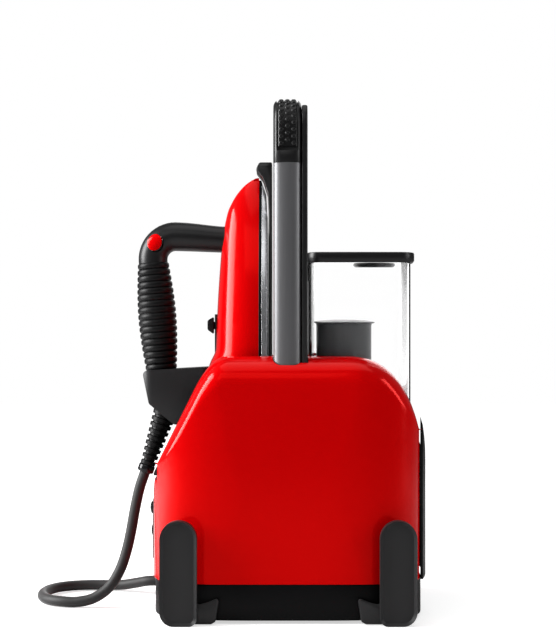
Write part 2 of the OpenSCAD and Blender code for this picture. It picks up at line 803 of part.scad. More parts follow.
module at_screws() {
    for (x = [x_mid - 84, x_mid - 20, x_mid + 50], y = [-50, 50]) translate([x, y, 0]) children();
}

module case_screws() {
    color([0.6, 0.6, 0.62]) at_screws() {
        rod(7, 0, 0, base_lift - 1.5, base_lift);
        rod(3.4, 0, 0, base_lift, tray_floor + 6);
    }
}

// ---- Steam cord ----

function tangent(i) =
    i == 0 ? unit([relief_v.x, 0, relief_v.y])
    : i == len(cord_route) - 1 ? [1, 0, 0]
    : unit(cord_route[i + 1] - cord_route[i - 1]);
function side_of(i) =
    i < 0 ? [0, 1, 0] : let (t = tangent(i), s = side_of(i - 1)) unit(s - (s * t) * t);

module steam_cord() {
    n = len(cord_route);
    rings = [for (i = [0:n - 1])
        let (s = side_of(i), up = cross(tangent(i), s))
        each [for (k = [0:cord_sides - 1])
            let (a = 360 * k / cord_sides)
            cord_route[i] + cord_d / 2 * (s * cos(a) + up * sin(a))]];
    faces = [for (i = [0:n - 2], k = [0:cord_sides - 1])
        let (a = i * cord_sides + k, b = i * cord_sides + (k + 1) % cord_sides)
        [a, b, b + cord_sides, a + cord_sides]];
    start = [for (k = [cord_sides - 1:-1:0]) k];
    finish = [for (k = [0:cord_sides - 1]) (n - 1) * cord_sides + k];
    color([0.09, 0.09, 0.1]) polyhedron(rings, concat(faces, [start, finish]), convexity = 6);
}

// ---- Iron ----

// Everything that the hook of the rest needs clear, above and behind the iron's tip
module hook_space() {
    along_y(far) polygon(concat(
        moved(hook_line, [rest_x0 - hook_clear, tip_z - hook_clear]),
        [[rest_x0 + far, tip_z - 41], [rest_x0 + far, tip_z + 50], [rest_x0 - 15, tip_z + 50]]));
}

module soleplate() {
    color([0.8, 0.81, 0.83]) difference() {
        along_x(sole_t, skirt_x) polygon(iron_outline(0));
        hook_space();
        for (z = [30:20:170], y = [-1, 1])
            rod_x(3, y * (iron_w / 2 - 12) * pow(1 - pow(z / iron_l, 2.6), 0.9), heel_z + z,
                skirt_x + 2, far);
        rod_x(3, 0, tip_z - 55, skirt_x + 2, far);
    }
}

module heat_skirt() {
    color([0.06, 0.06, 0.065]) difference() {
        along_x(skirt_t, cover_x) polygon(iron_outline(1.2));
        hook_space();
        along_x(skirt_t + 2, cover_x - 1) polygon(iron_outline(12));
    }
}

module iron_form(t) {
    intersection() {
        along_x(far, cover_x - far) polygon(iron_outline(1.6 + t));
        along_y(far) polygon(moved(inset(iron_side_view, t), [t, 0]));
        translate([0, 0, heel_z - 10]) linear_extrude(far) polygon(inset(iron_dome, t));
    }
}

module iron_shell() {
    color([0.78, 0.02, 0.03]) difference() {
        iron_form(0);
        iron_form(wall);
        hook_space();
        rod_x(grip_d - 2 + 2 * seam_gap, 0, arm_z, spine_x - 10, cover_x - 20);
        block(spine_x - 1, spine_x + 5, -2.2, 2.2, track_z, selector_z + selector_h / 2 + 3);
        rod_x(9, 0, heel_z + 12, heel_face - 5, heel_face + 10);
    }
}

module steam_chamber() {
    color([0.62, 0.63, 0.65]) difference() {
        along_x(15.6, skirt_x - 15.6) polygon(iron_outline(14.5));
        rod_x(8, 0, heel_z + 60, skirt_x - 16, skirt_x - 10);
    }
}

module steam_tube() {
    color([0.8, 0.5, 0.35])
        hose(7, [[skirt_x - 12, 0, heel_z + 60], [skirt_x - 24, 0, heel_z + 60],
            [skirt_x - 24, 0, heel_z + 12], [heel_face + 2, 0, heel_z + 12]]);
}

// Space around the steam button, seen along its stroke into the elbow
module button_slab(w, seat) {
    translate([elbow_x, 0, elbow_z]) rotate([0, button_angle - 90, 0])
        translate([-w / 2, -far / 2, seat]) cube([w, far, 60]);
}

module handle_arm() {
    color([0.07, 0.07, 0.075]) difference() {
        union() {
            rod_x(grip_d - 2, 0, arm_z, elbow_x, cover_x - 34);
            translate([elbow_x, 0, elbow_z]) {
                rotate([90, 0, 0]) rotate([0, 0, 90])
                    rotate_extrude(angle = 90 + grip_lean, $fn = 96)
                        translate([elbow_r, 0]) circle(d = grip_d - 2);
                rotate([0, -grip_lean, 0])
                    translate([-elbow_r, 0, -grip_l - 1]) cylinder(d = core_d, h = grip_l + 2);
            }
        }
        button_slab(button_w + 2 * slide_gap, button_seat - button_stroke - 0.5);
        translate([elbow_x, 0, elbow_z]) rotate([0, button_angle - 90, 0])
            translate([0, 0, button_seat - button_stroke - 8]) cylinder(d = 8, h = 20);
    }
}

module steam_button() {
    color([0.85, 0.02, 0.02]) {
        intersection() {
            translate([elbow_x, 0, elbow_z]) rotate([90, 0, 0]) rotate([0, 0, 60])
                rotate_extrude(angle = 160, $fn = 96)
                    translate([elbow_r, 0]) circle(d = grip_d);
            button_slab(button_w, button_seat);
        }
    }
}

module button_spring() {
    color([0.7, 0.7, 0.72]) translate([elbow_x, 0, elbow_z]) rotate([0, button_angle - 90, 0])
        translate([0, 0, button_seat - button_stroke - 8]) difference() {
            cylinder(d = 7, h = 7.4);
            translate([0, 0, -1]) cylinder(d = 5, h = 10);
        }
}

// Outer radius of the grip at a share t of its length
function grip_r(t) = grip_d / 2 + grip_swell * sin(180 * t);

module grip_sleeve() {
    pitch = (grip_l - 4) / grip_ribs;
    color([0.09, 0.09, 0.095])
        translate([elbow_x, 0, elbow_z]) rotate([0, -grip_lean, 0])
            translate([-elbow_r, 0, -grip_l + 1]) rotate_extrude($fn = 72) polygon(concat(
                [[core_d / 2, 0], [grip_d / 2 - 1, 0]],
                [for (i = [0:grip_ribs - 1])
                    let (r = grip_r((i + 0.5) / grip_ribs), z = 2 + pitch * i)
                    each [[r - 1.4, z + 0.2], [r, z + 0.25 * pitch], [r, z + 0.75 * pitch],
                        [r - 1.4, z + pitch - 0.2]]],
                [[grip_d / 2 - 1, grip_l - 2], [core_d / 2, grip_l - 2]]));
}

module on_relief() {
    translate([relief_top.x, 0, relief_top.y]) rotate([0, relief_tilt, 0]) children();
}

module heel_cover() {
    top = elbow_z - grip_l * cos(grip_lean) + 1.6;
    color([0.19, 0.19, 0.2]) difference() {
        intersection() {
            along_y(48) polygon(rounded([
                [heel_face - seam_gap, heel_z + 17, 0], [sole_x - 133, top, 5],
                [sole_x - 125.5, heel_z - 22, 5], [sole_x - 99, heel_z - 44, 6],
                [sole_x - 90, heel_z - 44, 8], [heel_face - seam_gap, heel_z - 14, 0]
            ]));
            translate([sole_x - 96, 0, 0]) linear_extrude(far)
                round_rect(-40, 40, -23, 23, 14);
        }
        translate([elbow_x, 0, elbow_z]) rotate([0, -grip_lean, 0])
            translate([-elbow_r, 0, -grip_l]) translate([0, 0, -1.4]) cylinder(d = grip_d + 1, h = 20);
        on_relief() {
            translate([0, 0, 1]) cylinder(d = 28, h = 60);
            translate([0, 0, -10]) cylinder(d = 20, h = 20);
        }
        rod_x(9, 0, heel_z + 2, sole_x - 100, far);
    }
}

module strain_relief() {
    body_l = relief_l - relief_collar_h - 0.2;
    color([0.05, 0.05, 0.055]) on_relief() difference() {
        union() {
            translate([0, 0, 1.2]) cylinder(d1 = 27, d2 = 16, h = body_l - 1.2);
            translate([0, 0, -9.8]) cylinder(d = 19.6, h = 14);
        }
        translate([0, 0, -11]) cylinder(d = 7.6, h = far);
        for (i = [1:relief_slots]) translate([0, 0, body_l * i / (relief_slots + 1)]) difference() {
            cylinder(d = 40, h = 2);
            translate([0, 0, -1]) cylinder(d = 25 - 10.5 * i / (relief_slots + 1) - 2.6, h = 4);
        }
    }
}

module relief_collar() {
    color([0.14, 0.14, 0.15]) on_relief() translate([0, 0, relief_l - relief_collar_h]) difference() {
        cylinder(d = 17.5, h = relief_collar_h - 0.1);
        translate([0, 0, -1]) cylinder(d = 7.6, h = 8);
    }
}

module selector_track() {
    color([0.08, 0.08, 0.085]) difference() {
        block(spine_x - 0.6, spine_x + 4.6, -1.9, 1.9, track_z + 0.4,
            selector_z + selector_h / 2 + 2.6);
        block(spine_x - 9, spine_x + 3.4, -1.2, 1.2, selector_z - selector_travel - 6, far);
    }
}

module steam_selector() {
    color([0.1, 0.1, 0.105]) {
        translate([0, 0, selector_z]) along_y(7) polygon(rounded([
            [spine_x - 1.6, -selector_h / 2, 1], [spine_x - 1.6, selector_h / 2, 1],
            [spine_x - 8.4, selector_h / 2 - 4, 3], [spine_x - 8.4, -selector_h / 2 + 5, 3]
        ]));
        block(spine_x - 3, spine_x + 2.8, -0.8, 0.8, selector_z - 4, selector_z + 4);
    }
}

// ---- Water tank ----

module water_tank() {
    color([0.8, 0.88, 0.92]) difference() {
        union() {
            translate([0, 0, tank_z]) linear_extrude(tank_top - tank_z)
                round_rect(tank_x0, tank_x1, -tank_y, tank_y, tank_r);
            rod(neck_d, filter_x, 0, neck_z, tank_z + 1);
        }
        translate([0, 0, tank_z + tank_wall]) linear_extrude(far)
            round_rect(tank_x0 + tank_wall, tank_x1 - tank_wall, -tank_y + tank_wall,
                tank_y - tank_wall, tank_r - tank_wall);
        rod(neck_bore, filter_x, 0, neck_z + lip_h, tank_top);
        rod(9, filter_x, 0, 0, tank_top);
        block(0, tank_x0 + tank_r, -far, far, tank_top - 2.4, far);
    }
}

module lid_bracket() {
    color([0.06, 0.06, 0.065]) difference() {
        union() {
            block(tank_x0 - 2, tank_x0 - 0.1, -bracket_y, bracket_y, lid_z - 17, lid_z - 2.8);
            both_sides() {
                block(tank_x0 - 2, tank_x0 + 3.4, knuckle_y + 0.4, bracket_y, lid_z - 2.5, lid_z + 4.4);
                block(tank_x0 - 2, tank_x0 - 0.1, knuckle_y + 0.4, bracket_y, lid_z - 4, lid_z);
            }
        }
        rod_y(hinge_pin_d, hinge_x, hinge_z, -far, far);
    }
}

module hinge_pin() {
    color([0.75, 0.76, 0.78]) rod_y(hinge_pin_d, hinge_x, hinge_z, -bracket_y, bracket_y);
}

module tank_lid() {
    boss_x = tank_x1 - 35;
    color([0.12, 0.12, 0.13]) difference() {
        union() {
            difference() {
                translate([0, 0, lid_z]) linear_extrude(lid_t)
                    round_rect(lid_x0, lid_x1, -lid_y, lid_y, 16);
                translate([0, 0, lid_z - 1]) linear_extrude(lid_t - 2)
                    round_rect(tank_x0 + 8, lid_x1 - 7, -lid_y + 5, lid_y - 5, 10);
                block(0, tank_x0 + 5.4, -bracket_y - 0.6, bracket_y + 0.6, lid_z - 1, lid_z + 6.4);
            }
            translate([boss_x, 0, lid_z - 4.8])
                cylinder(d1 = 40, d2 = 57, h = lid_t + 2);
            rod_y(6.4, hinge_x, hinge_z, -knuckle_y, knuckle_y);
            block(hinge_x, tank_x0 + 12, -knuckle_y, knuckle_y, hinge_z, lid_z + lid_t);
        }
        rod_y(hinge_pin_d + 2 * pin_gap, hinge_x, hinge_z, -far, far);
    }
}

module outlet_valve() {
    color([0.85, 0.4, 0.1]) {
        rod(16, filter_x, 0, neck_z + lip_h + 0.2, neck_z + lip_h + 3);
        rod(8, filter_x, 0, neck_z - 3, neck_z + lip_h + 1);
    }
}

module filter_cup() {
    stem_z = tank_z + tank_wall + 0.6;
    color([0.17, 0.17, 0.175]) {
        difference() {
            union() {
                rod(filter_d, filter_x, 0, filter_z, filter_top);
                rod(24, filter_x, 0, stem_z, filter_z + 1);
            }
            rod(filter_d - 4, filter_x, 0, filter_z + 2, filter_top + 1);
            rod(18, filter_x, 0, stem_z - 1, filter_z + 3);
        }
        translate([filter_x, 0, filter_top]) {
            cylinder(d1 = 2 * brim_r, d2 = 2 * brim_r - 3, h = 1.4);
            translate([0, 0, 1.4]) cylinder(d1 = 2 * brim_r - 3, d2 = 24, h = 2);
        }
    }
}

base_tray();
side_shell_right();
side_shell_left();
front_panel();
rear_cover();
top_deck();
tank_bay();
bumper_front_right();
bumper_front_left();
bumper_rear_right();
bumper_rear_left();
iron_rest();
heel_pad();
handle_guides();
boiler();
boiler_jacket();
boiler_cradle();
boiler_heater();
safety_valve();
pressure_switch();
steam_valve();
pump();
water_hose();
steam_pipe();
control_board();
switch_board();
mains_inlet();
tank_socket();
cord_gland();
control_bezel();
power_button();
mode_button();
drain_plug();
case_screws();
steam_cord();
handle_legs();
handle_bar();
handle_inlay();
handle_trims();
handle_shoes();
soleplate();
heat_skirt();
iron_shell();
steam_chamber();
steam_tube();
handle_arm();
grip_sleeve();
heel_cover();
strain_relief();
relief_collar();
selector_track();
steam_selector();
steam_button();
button_spring();
water_tank();
lid_bracket();
hinge_pin();
tank_lid();
outlet_valve();
filter_cup();
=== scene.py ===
import math
import bpy
from mathutils import Matrix, Vector


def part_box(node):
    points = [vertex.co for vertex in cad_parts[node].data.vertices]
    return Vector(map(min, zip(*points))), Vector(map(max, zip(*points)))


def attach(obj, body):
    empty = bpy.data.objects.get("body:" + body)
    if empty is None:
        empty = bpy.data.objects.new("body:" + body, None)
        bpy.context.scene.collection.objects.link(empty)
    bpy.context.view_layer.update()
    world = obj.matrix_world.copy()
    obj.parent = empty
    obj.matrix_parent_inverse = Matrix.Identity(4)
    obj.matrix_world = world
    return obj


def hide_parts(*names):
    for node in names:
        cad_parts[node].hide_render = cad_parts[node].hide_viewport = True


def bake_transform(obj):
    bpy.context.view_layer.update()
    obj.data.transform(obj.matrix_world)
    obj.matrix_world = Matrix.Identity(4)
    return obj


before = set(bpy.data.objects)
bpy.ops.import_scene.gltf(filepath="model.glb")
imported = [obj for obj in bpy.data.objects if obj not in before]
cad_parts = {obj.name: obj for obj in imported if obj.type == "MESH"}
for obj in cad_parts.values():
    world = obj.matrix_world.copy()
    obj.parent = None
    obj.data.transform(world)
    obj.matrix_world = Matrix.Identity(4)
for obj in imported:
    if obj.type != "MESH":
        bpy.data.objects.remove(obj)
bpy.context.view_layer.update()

# ---- Studio ----
# A pale sweep of paper under and behind the object, one large softbox on the left, a narrower
# one on the right and a wide one overhead, as for a product picture.


def linear(hex_colour, alpha=1.0):
    """Turns an sRGB hex value such as "B00408" into the linear values that a shader takes."""
    parts = [int(hex_colour[i:i + 2], 16) / 255 for i in (0, 2, 4)]
    return [c / 12.92 if c <= 0.04045 else ((c + 0.055) / 1.055) ** 2.4 for c in parts] + [alpha]


def add_node(material, kind, settings=None, links=None):
    """Adds a node with its settings and its links, {input: (node, output)}."""
    tree = material.node_tree
    new = tree.nodes.new(kind)
    for key, value in (settings or {}).items():
        if isinstance(key, str) and hasattr(new, key):
            setattr(new, key, value)
        else:
            new.inputs[key].default_value = value
    for key, (source, output) in (links or {}).items():
        tree.links.new(source.outputs[output], new.inputs[key])
    return new


def new_material(name):
    """A new material with its shader, ready for textures."""
    material = bpy.data.materials.new(name)
    material.use_nodes = True
    return material, material.node_tree.nodes["Principled BSDF"]


def plug_in(material, source, output, shader, socket):
    material.node_tree.links.new(source.outputs[output], shader.inputs[socket])


bpy.context.scene.view_settings.view_transform = "Standard"
world = bpy.data.worlds.new("studio")
world.use_nodes = True
room = world.node_tree.nodes["Background"]
room.inputs["Color"].default_value = linear("FFFFFF")
# The wall behind is lit to white, seen directly or through the clear tank, and the room is dim.
seen = add_node(world, "ShaderNodeLightPath")
through = add_node(world, "ShaderNodeMath", {"operation": "MAXIMUM"},
                   {0: (seen, "Is Camera Ray"), 1: (seen, "Is Transmission Ray")})
lit = add_node(world, "ShaderNodeMapRange", {"To Min": 0.13, "To Max": 1.0}, {"Value": (through, 0)})
world.node_tree.links.new(lit.outputs["Result"], room.inputs["Strength"])
bpy.context.scene.world = world

bpy.ops.object.select_all(action="DESELECT")
bpy.ops.mesh.primitive_plane_add(size=9, location=(0, 0, -0.0005))
floor = bpy.context.object
floor.name = "studio_floor"
paper, shader = new_material("white_paper_sweep")
shader.inputs["Base Color"].default_value = linear("D8D8D8")
shader.inputs["Roughness"].default_value = 0.9
shader.inputs["Specular IOR Level"].default_value = 0.1
shader.inputs["Emission Color"].default_value = linear("FFFFFF")
place = add_node(paper, "ShaderNodeTexCoord")
away = add_node(paper, "ShaderNodeVectorMath", {"operation": "LENGTH"}, {0: (place, "Object")})
# The sweep has a painted glow, seen by the eye only, which grows away from the object so that it meets the wall
# unseen; near the object the glow is weaker. It throws no light up at the object.
painted_floor_glow = add_node(paper, "ShaderNodeMapRange", {"From Min": 0.25, "From Max": 1.3, "To Min": 0.6,
                                              "To Max": 1.0}, {"Value": (away, "Value")})
looked_at = add_node(paper, "ShaderNodeLightPath")
direct = add_node(paper, "ShaderNodeMath", {"operation": "MAXIMUM"},
                  {0: (looked_at, "Is Camera Ray"), 1: (looked_at, "Is Transmission Ray")})
painted_floor_glow = add_node(paper, "ShaderNodeMath", {"operation": "MULTIPLY"}, {0: (painted_floor_glow, "Result"), 1: (direct, 0)})
plug_in(paper, painted_floor_glow, 0, shader, "Emission Strength")
fibre = add_node(paper, "ShaderNodeTexNoise", {"Scale": 900.0, "Detail": 3.0},
                 {"Vector": (place, "Object")})
relief = add_node(paper, "ShaderNodeBump", {"Strength": 0.02, "Distance": 0.0002},
                  {"Height": (fibre, "Fac")})
plug_in(paper, relief, "Normal", shader, "Normal")
floor.data.materials.append(paper)

softboxes = [
    ("softbox_left", (-1.65, -0.2, 0.9), 0.9, 1.3, 80),
    ("softbox_right", (1.5, -0.6, 0.8), 0.35, 1.3, 11),
    ("softbox_top", (0.1, -0.2, 1.9), 1.6, 1.2, 9),
    ("softbox_front", (-0.3, -1.25, 1.3), 0.9, 0.6, 2.6),
    ("softbox_back", (0.4, 1.6, 1.1), 1.4, 1.2, 8),
]
for name, place, width, height, power in softboxes:
    lamp = bpy.data.lights.new(name, "AREA")
    lamp.shape = "RECTANGLE"
    lamp.size = width
    lamp.size_y = height
    lamp.energy = power
    holder = bpy.data.objects.new(name, lamp)
    holder.location = place
    holder.rotation_euler = (Vector((0, 0, 0.25)) - Vector(place)).to_track_quat("-Z", "Y").to_euler()
    bpy.context.collection.objects.link(holder)

# The camera stands level, 1.45 m from the object's middle, at the height of its shoulders.
lens_px = 1350
camera = bpy.data.objects.new("camera", bpy.data.cameras.new("camera"))
camera.location = (0, -1.45, 0.2855)
camera.rotation_euler = (math.pi / 2, 0, 0)
camera.data.sensor_width = 36
camera.data.lens = 36 * lens_px / 630
camera.data.shift_x = -3 / 630
camera.data.shift_y = 25 / 630
bpy.context.collection.objects.link(camera)
bpy.context.scene.camera = camera

# ---- Steam cord ----
# The cord from the iron's heel to the boiler: a silicone steam tube and four wires in a braided
# black polyester sleeve. It hangs from the relief, lies on the table in one bend and goes into
# the base. It is swept along its route, with its braid on its own UV map.


def lay_down():
    """Deselects everything, so that the next operator acts on its own piece only."""
    if bpy.context.object and bpy.context.object.mode == "EDIT":
        bpy.ops.object.mode_set(mode="OBJECT")
    bpy.ops.object.select_all(action="DESELECT")


def take_up(piece):
    """Makes a piece the one that operators act on."""
    lay_down()
    piece.select_set(True)
    bpy.context.view_layer.objects.active = piece


def loft(name, rings, caps=True):
    """A circle extruded once for each ring, with each loop of vertices put on its ring."""
    lay_down()
    count = len(rings[0])
    bpy.ops.mesh.primitive_circle_add(vertices=count, radius=1)
    piece = bpy.context.object
    piece.name = name
    piece.data.name = name
    bpy.ops.object.mode_set(mode="EDIT")
    for _ in rings[1:]:
        bpy.ops.mesh.extrude_region_move()
    bpy.ops.object.mode_set(mode="OBJECT")
    for i, vertex in enumerate(piece.data.vertices):
        vertex.co = rings[i // count][i % count]
    if caps:
        for last in (0, (len(rings) - 1) * count):
            for i, vertex in enumerate(piece.data.vertices):
                vertex.select = last <= i < last + count
            for i, edge in enumerate(piece.data.edges):
                edge.select = all(last <= v < last + count for v in edge.vertices)
            bpy.ops.object.mode_set(mode="EDIT")
            bpy.ops.mesh.select_mode(type="EDGE")
            bpy.ops.mesh.edge_face_add()
            bpy.ops.object.mode_set(mode="OBJECT")
    bpy.ops.object.mode_set(mode="EDIT")
    bpy.ops.mesh.select_all(action="SELECT")
    bpy.ops.mesh.normals_make_consistent(inside=False)
    bpy.ops.object.mode_set(mode="OBJECT")
    return piece


def apply_modifiers(piece):
    take_up(piece)
    for modifier in list(piece.modifiers):
        bpy.ops.object.modifier_apply(modifier=modifier.name)


def finish_piece(piece, material, body, *nodes, smooth=35):
    """Applies what is on the piece, shades it, gives it its material and puts it on its body."""
    apply_modifiers(piece)
    bpy.ops.object.transform_apply(location=True, rotation=True, scale=True)
    bpy.ops.object.shade_smooth_by_angle(angle=math.radians(smooth))
    piece.data.materials.clear()
    piece.data.materials.append(material)
    if body:
        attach(piece, body)
    if nodes:
        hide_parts(*nodes)


cord_d = 0.0115
cord_route = [Vector(p) / 1000 for p in [
    (-146, 0, 144), (-152, 0, 126), (-157, 0, 103), (-161, -1, 80), (-166, -2, 58),
    (-173, -4, 38), (-184, -7, 21), (-200, -9, 10), (-218, -9, 6), (-235, -6, 6),
    (-249, 3, 6), (-258, 18, 6), (-262, 38, 6), (-260, 58, 6), (-252, 75, 6),
    (-238, 86, 6), (-220, 91, 6), (-200, 91, 6), (-181, 86, 7), (-164, 76, 11),
    (-150, 66, 15), (-136, 63, 16)
]]


def smooth_route(points, steps):
    """Points of a Catmull-Rom curve through the route."""
    ends = [2 * points[0] - points[1]] + points + [2 * points[-1] - points[-2]]
    route = []
    for a, b, c, d in zip(ends, ends[1:], ends[2:], ends[3:]):
        for k in range(steps):
            t = k / steps
            route.append(0.5 * (2 * b + (c - a) * t + (2 * a - 5 * b + 4 * c - d) * t * t
                                + (3 * b - a - 3 * c + d) * t ** 3))
    return route + [points[-1]]


def tube_rings(path, radius, count, across=Vector((0, 1, 0))):
    """Rings round a path; radius is a number or a list, and the rings don't twist."""
    rings = []
    for i, point in enumerate(path):
        along = (path[min(i + 1, len(path) - 1)] - path[max(i - 1, 0)]).normalized()
        across = (across - along * across.dot(along)).normalized()
        up = along.cross(across)
        r = radius[i] if isinstance(radius, list) else radius
        rings.append([point + r * (across * math.cos(a) + up * math.sin(a))
                      for a in [2 * math.pi * k / count for k in range(count)]])
    return rings


def wrap_uv(piece, count, path):
    """UV map of a swept tube: u once round it, v the distance along it in metres."""
    lengths = [0.0]
    for a, b in zip(path, path[1:]):
        lengths.append(lengths[-1] + (b - a).length)
    layer = piece.data.uv_layers.new(name="UVMap")
    for face in piece.data.polygons:
        corners = [piece.data.loops[i].vertex_index for i in face.loop_indices]
        seam = {v % count for v in corners} >= {0, count - 1}
        for i, v in zip(face.loop_indices, corners):
            around = v % count + (count if seam and v % count == 0 else 0)
            layer.data[i].uv = (around / count, lengths[v // count])
    return lengths[-1]


cord_path = smooth_route(cord_route, 6)
steam_cord = loft("steam_cord_braided", tube_rings(cord_path, cord_d / 2 * 0.985, 24))
cord_length = wrap_uv(steam_cord, 24, cord_path)

# Braided polyester: bundles of shiny black yarn crossing at about 45 degrees, 2.6 mm apart. The small bright flecks
# in rows on the black ground are painted glints: light grey squares of a checker in the base colour. The yarn's own
# fibres are too fine.
braid, shader = new_material("braided_polyester_black")
uv = add_node(braid, "ShaderNodeUVMap", {"uv_map": "UVMap"})
turns = cord_d * math.pi / 0.0026
flat = add_node(braid, "ShaderNodeMapping", {"Scale": (round(turns), 1 / 0.0026, 1.0)},
                {"Vector": (uv, "UV")})
turned = add_node(braid, "ShaderNodeMapping", {"Rotation": (0, 0, math.radians(45))},
                  {"Vector": (flat, "Vector")})
# Painted glints: the checker's light grey squares stand for light caught on the shiny yarn.
glint_checker = add_node(braid, "ShaderNodeTexChecker",
                  {"Scale": 1.4142, "Color1": linear("6A6A6C"), "Color2": linear("0C0C0D")},
                  {"Vector": (turned, "Vector")})
yarn = add_node(braid, "ShaderNodeTexNoise", {"Scale": 2600.0, "Detail": 2.0},
                {"Vector": (add_node(braid, "ShaderNodeTexCoord"), "Object")})
painted_glint_flecks = add_node(braid, "ShaderNodeMix", {"data_type": "RGBA", "blend_type": "MULTIPLY", 0: 0.55},
                 {6: (glint_checker, "Color"), 7: (yarn, "Color")})
plug_in(braid, painted_glint_flecks, 2, shader, "Base Color")
strand = add_node(braid, "ShaderNodeTexVoronoi", {"Scale": 1.4142, "feature": "DISTANCE_TO_EDGE",
                                                  "voronoi_dimensions": "2D", "Randomness": 0.0},
                  {"Vector": (turned, "Vector")})
weave = add_node(braid, "ShaderNodeBump", {"Strength": 0.75, "Distance": 0.0006},
                 {"Height": (strand, "Distance")})
plug_in(braid, weave, "Normal", shader, "Normal")
shader.inputs["Roughness"].default_value = 0.62
shader.inputs["Sheen Weight"].default_value = 0.25
shader.inputs["Sheen Roughness"].default_value = 0.4

finish_piece(steam_cord, braid, None, "steam_cord", smooth=60)
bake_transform(steam_cord)

# ---- Housing shells ----
# Two side shells in glossy red ABS, injection-moulded with 2.6 mm walls, which clip and screw to
# the black tray. Seen from above they form one rounded block; the front slopes back to the dock.
mm = 0.001
shell_lo, shell_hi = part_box("side_shell_right")
x_mid = (shell_lo.x + shell_hi.x) / 2
half_l = x_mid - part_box("front_panel")[0].x
half_w = -shell_lo.y
cheek = -shell_hi.y
seam_z, shell_top = shell_lo.z, shell_hi.z
wall = 2.6 * mm
shoulder = 30 * mm
rear_round = (82 * mm, 150 * mm)
slope_top = x_mid - half_l + 62 * mm


def soft_min(a, b, k):
    """The lower of two values, with the corner between them rounded over about k."""
    near = max(k - abs(a - b), 0) / k
    return min(a, b) - near * near * k / 4


def plan_w(x, inset=0.0):
    """Half the housing's width at x, seen from above."""
    share = min(abs(x - x_mid) / (half_l - inset), 1)
    return (half_w - inset) * (1 - share ** 4) ** 0.25


def side_w(z):
    """Half its width at height z, seen from the front: a slight barrel shape."""
    return soft_min(half_w - 3 * mm * (1 - z / 0.121), half_w - 2 * mm * (z - 0.121) / 0.148, 1.5 * mm)


def top_z(x):
    """Height of its outline at x, seen from the side."""
    back = max(x - (x_mid + half_l - rear_round[0]), 0) / rear_round[0]
    rear = shell_top - rear_round[1] * (1 - max(1 - back ** 2.4, 0) ** (1 / 2.4))
    return soft_min(rear, shell_top + 2 * (x - slope_top), 34 * mm)


def shell_point(u, v):
    """Up the side, round the shoulder and in to the deck, for x from the front to the rear."""
    x = x_mid - (x_mid - shell_lo.x) * math.cos(math.pi * u) * 0.9999
    width = plan_w(x)
    r = min(shoulder, max(width - cheek, 0.5 * mm))
    high = top_z(x)
    if v < 0.45:
        z = seam_z + (high - r - seam_z) * v / 0.45
        return (x, -min(width, side_w(z)), z)
    edge = min(width, side_w(high - r))
    if v < 0.9:
        a = (v - 0.45) / 0.45 * math.pi / 2
        return (x, -(edge - r + r * math.cos(a)), high - r + r * math.sin(a))
    return (x, -(edge - r + (cheek - edge + r) * (v - 0.9) / 0.1), high)


def draped(name, columns, rows, place):
    """A grid whose vertices are put where place(u, v) says, for u and v from 0 to 1."""
    lay_down()
    bpy.ops.mesh.primitive_grid_add(x_subdivisions=columns, y_subdivisions=rows, size=1)
    piece = bpy.context.object
    piece.name = name
    piece.data.name = name
    for vertex in piece.data.vertices:
        vertex.co = place(vertex.co.x + 0.5, vertex.co.y + 0.5)
    return piece


def turn_outwards(piece, centre):
    """Makes an open sheet face away from a point inside it."""
    centre = Vector(centre)
    out = sum((f.center - centre).dot(f.normal) * f.area for f in piece.data.polygons)
    if out < 0:
        take_up(piece)
        bpy.ops.object.mode_set(mode="EDIT")
        bpy.ops.mesh.select_all(action="SELECT")
        bpy.ops.mesh.flip_normals()
        bpy.ops.object.mode_set(mode="OBJECT")


def thicken(piece, thickness):
    """Gives an open sheet a wall on its inner side."""
    modifier = piece.modifiers.new("wall", "SOLIDIFY")
    modifier.thickness = thickness
    modifier.offset = -1


def round_edges(piece, width, angle=40, segments=2):
    modifier = piece.modifiers.new("edge_radius", "BEVEL")
    modifier.width = width
    modifier.segments = segments
    modifier.limit_method = "ANGLE"
    modifier.angle_limit = math.radians(angle)


def round_rect(x0, x1, y0, y1, r, steps=5):
    """Corners of a rounded rectangle seen from above, anticlockwise."""
    ring = []
    for k, (cx, cy) in enumerate([(x1 - r, y1 - r), (x0 + r, y1 - r), (x0 + r, y0 + r), (x1 - r, y0 + r)]):
        for j in range(steps + 1):
            a = math.pi / 2 * (k + j / steps)
            ring.append((cx + r * math.cos(a), cy + r * math.sin(a)))
    return ring


def at_height(ring, z):
    return [Vector((x, y, z)) for x, y in ring]


def cut_with(piece, cutter, keep="DIFFERENCE"):
    """Cuts a piece with another, which is then thrown away."""
    modifier = piece.modifiers.new("cut", "BOOLEAN")
    modifier.operation = keep
    modifier.solver = "EXACT"
    modifier.object = cutter
    apply_modifiers(piece)
    bpy.data.objects.remove(cutter)


def mirrored(piece, name, x=None, y=None):
    """A copy with its own mesh, mirrored in X about x, or in Y about y, and facing outwards."""
    lay_down()
    twin = piece.copy()
    twin.data = piece.data.copy()
    twin.name = name
    twin.data.name = name
    bpy.context.collection.objects.link(twin)
    for vertex in twin.data.vertices:
        if x is not None:
            vertex.co.x = 2 * x - vertex.co.x
        if y is not None:
            vertex.co.y = 2 * y - vertex.co.y
    if (x is None) != (y is None):
        take_up(twin)
        bpy.ops.object.mode_set(mode="EDIT")
        bpy.ops.mesh.select_all(action="SELECT")
        bpy.ops.mesh.flip_normals()
        bpy.ops.object.mode_set(mode="OBJECT")
    return twin


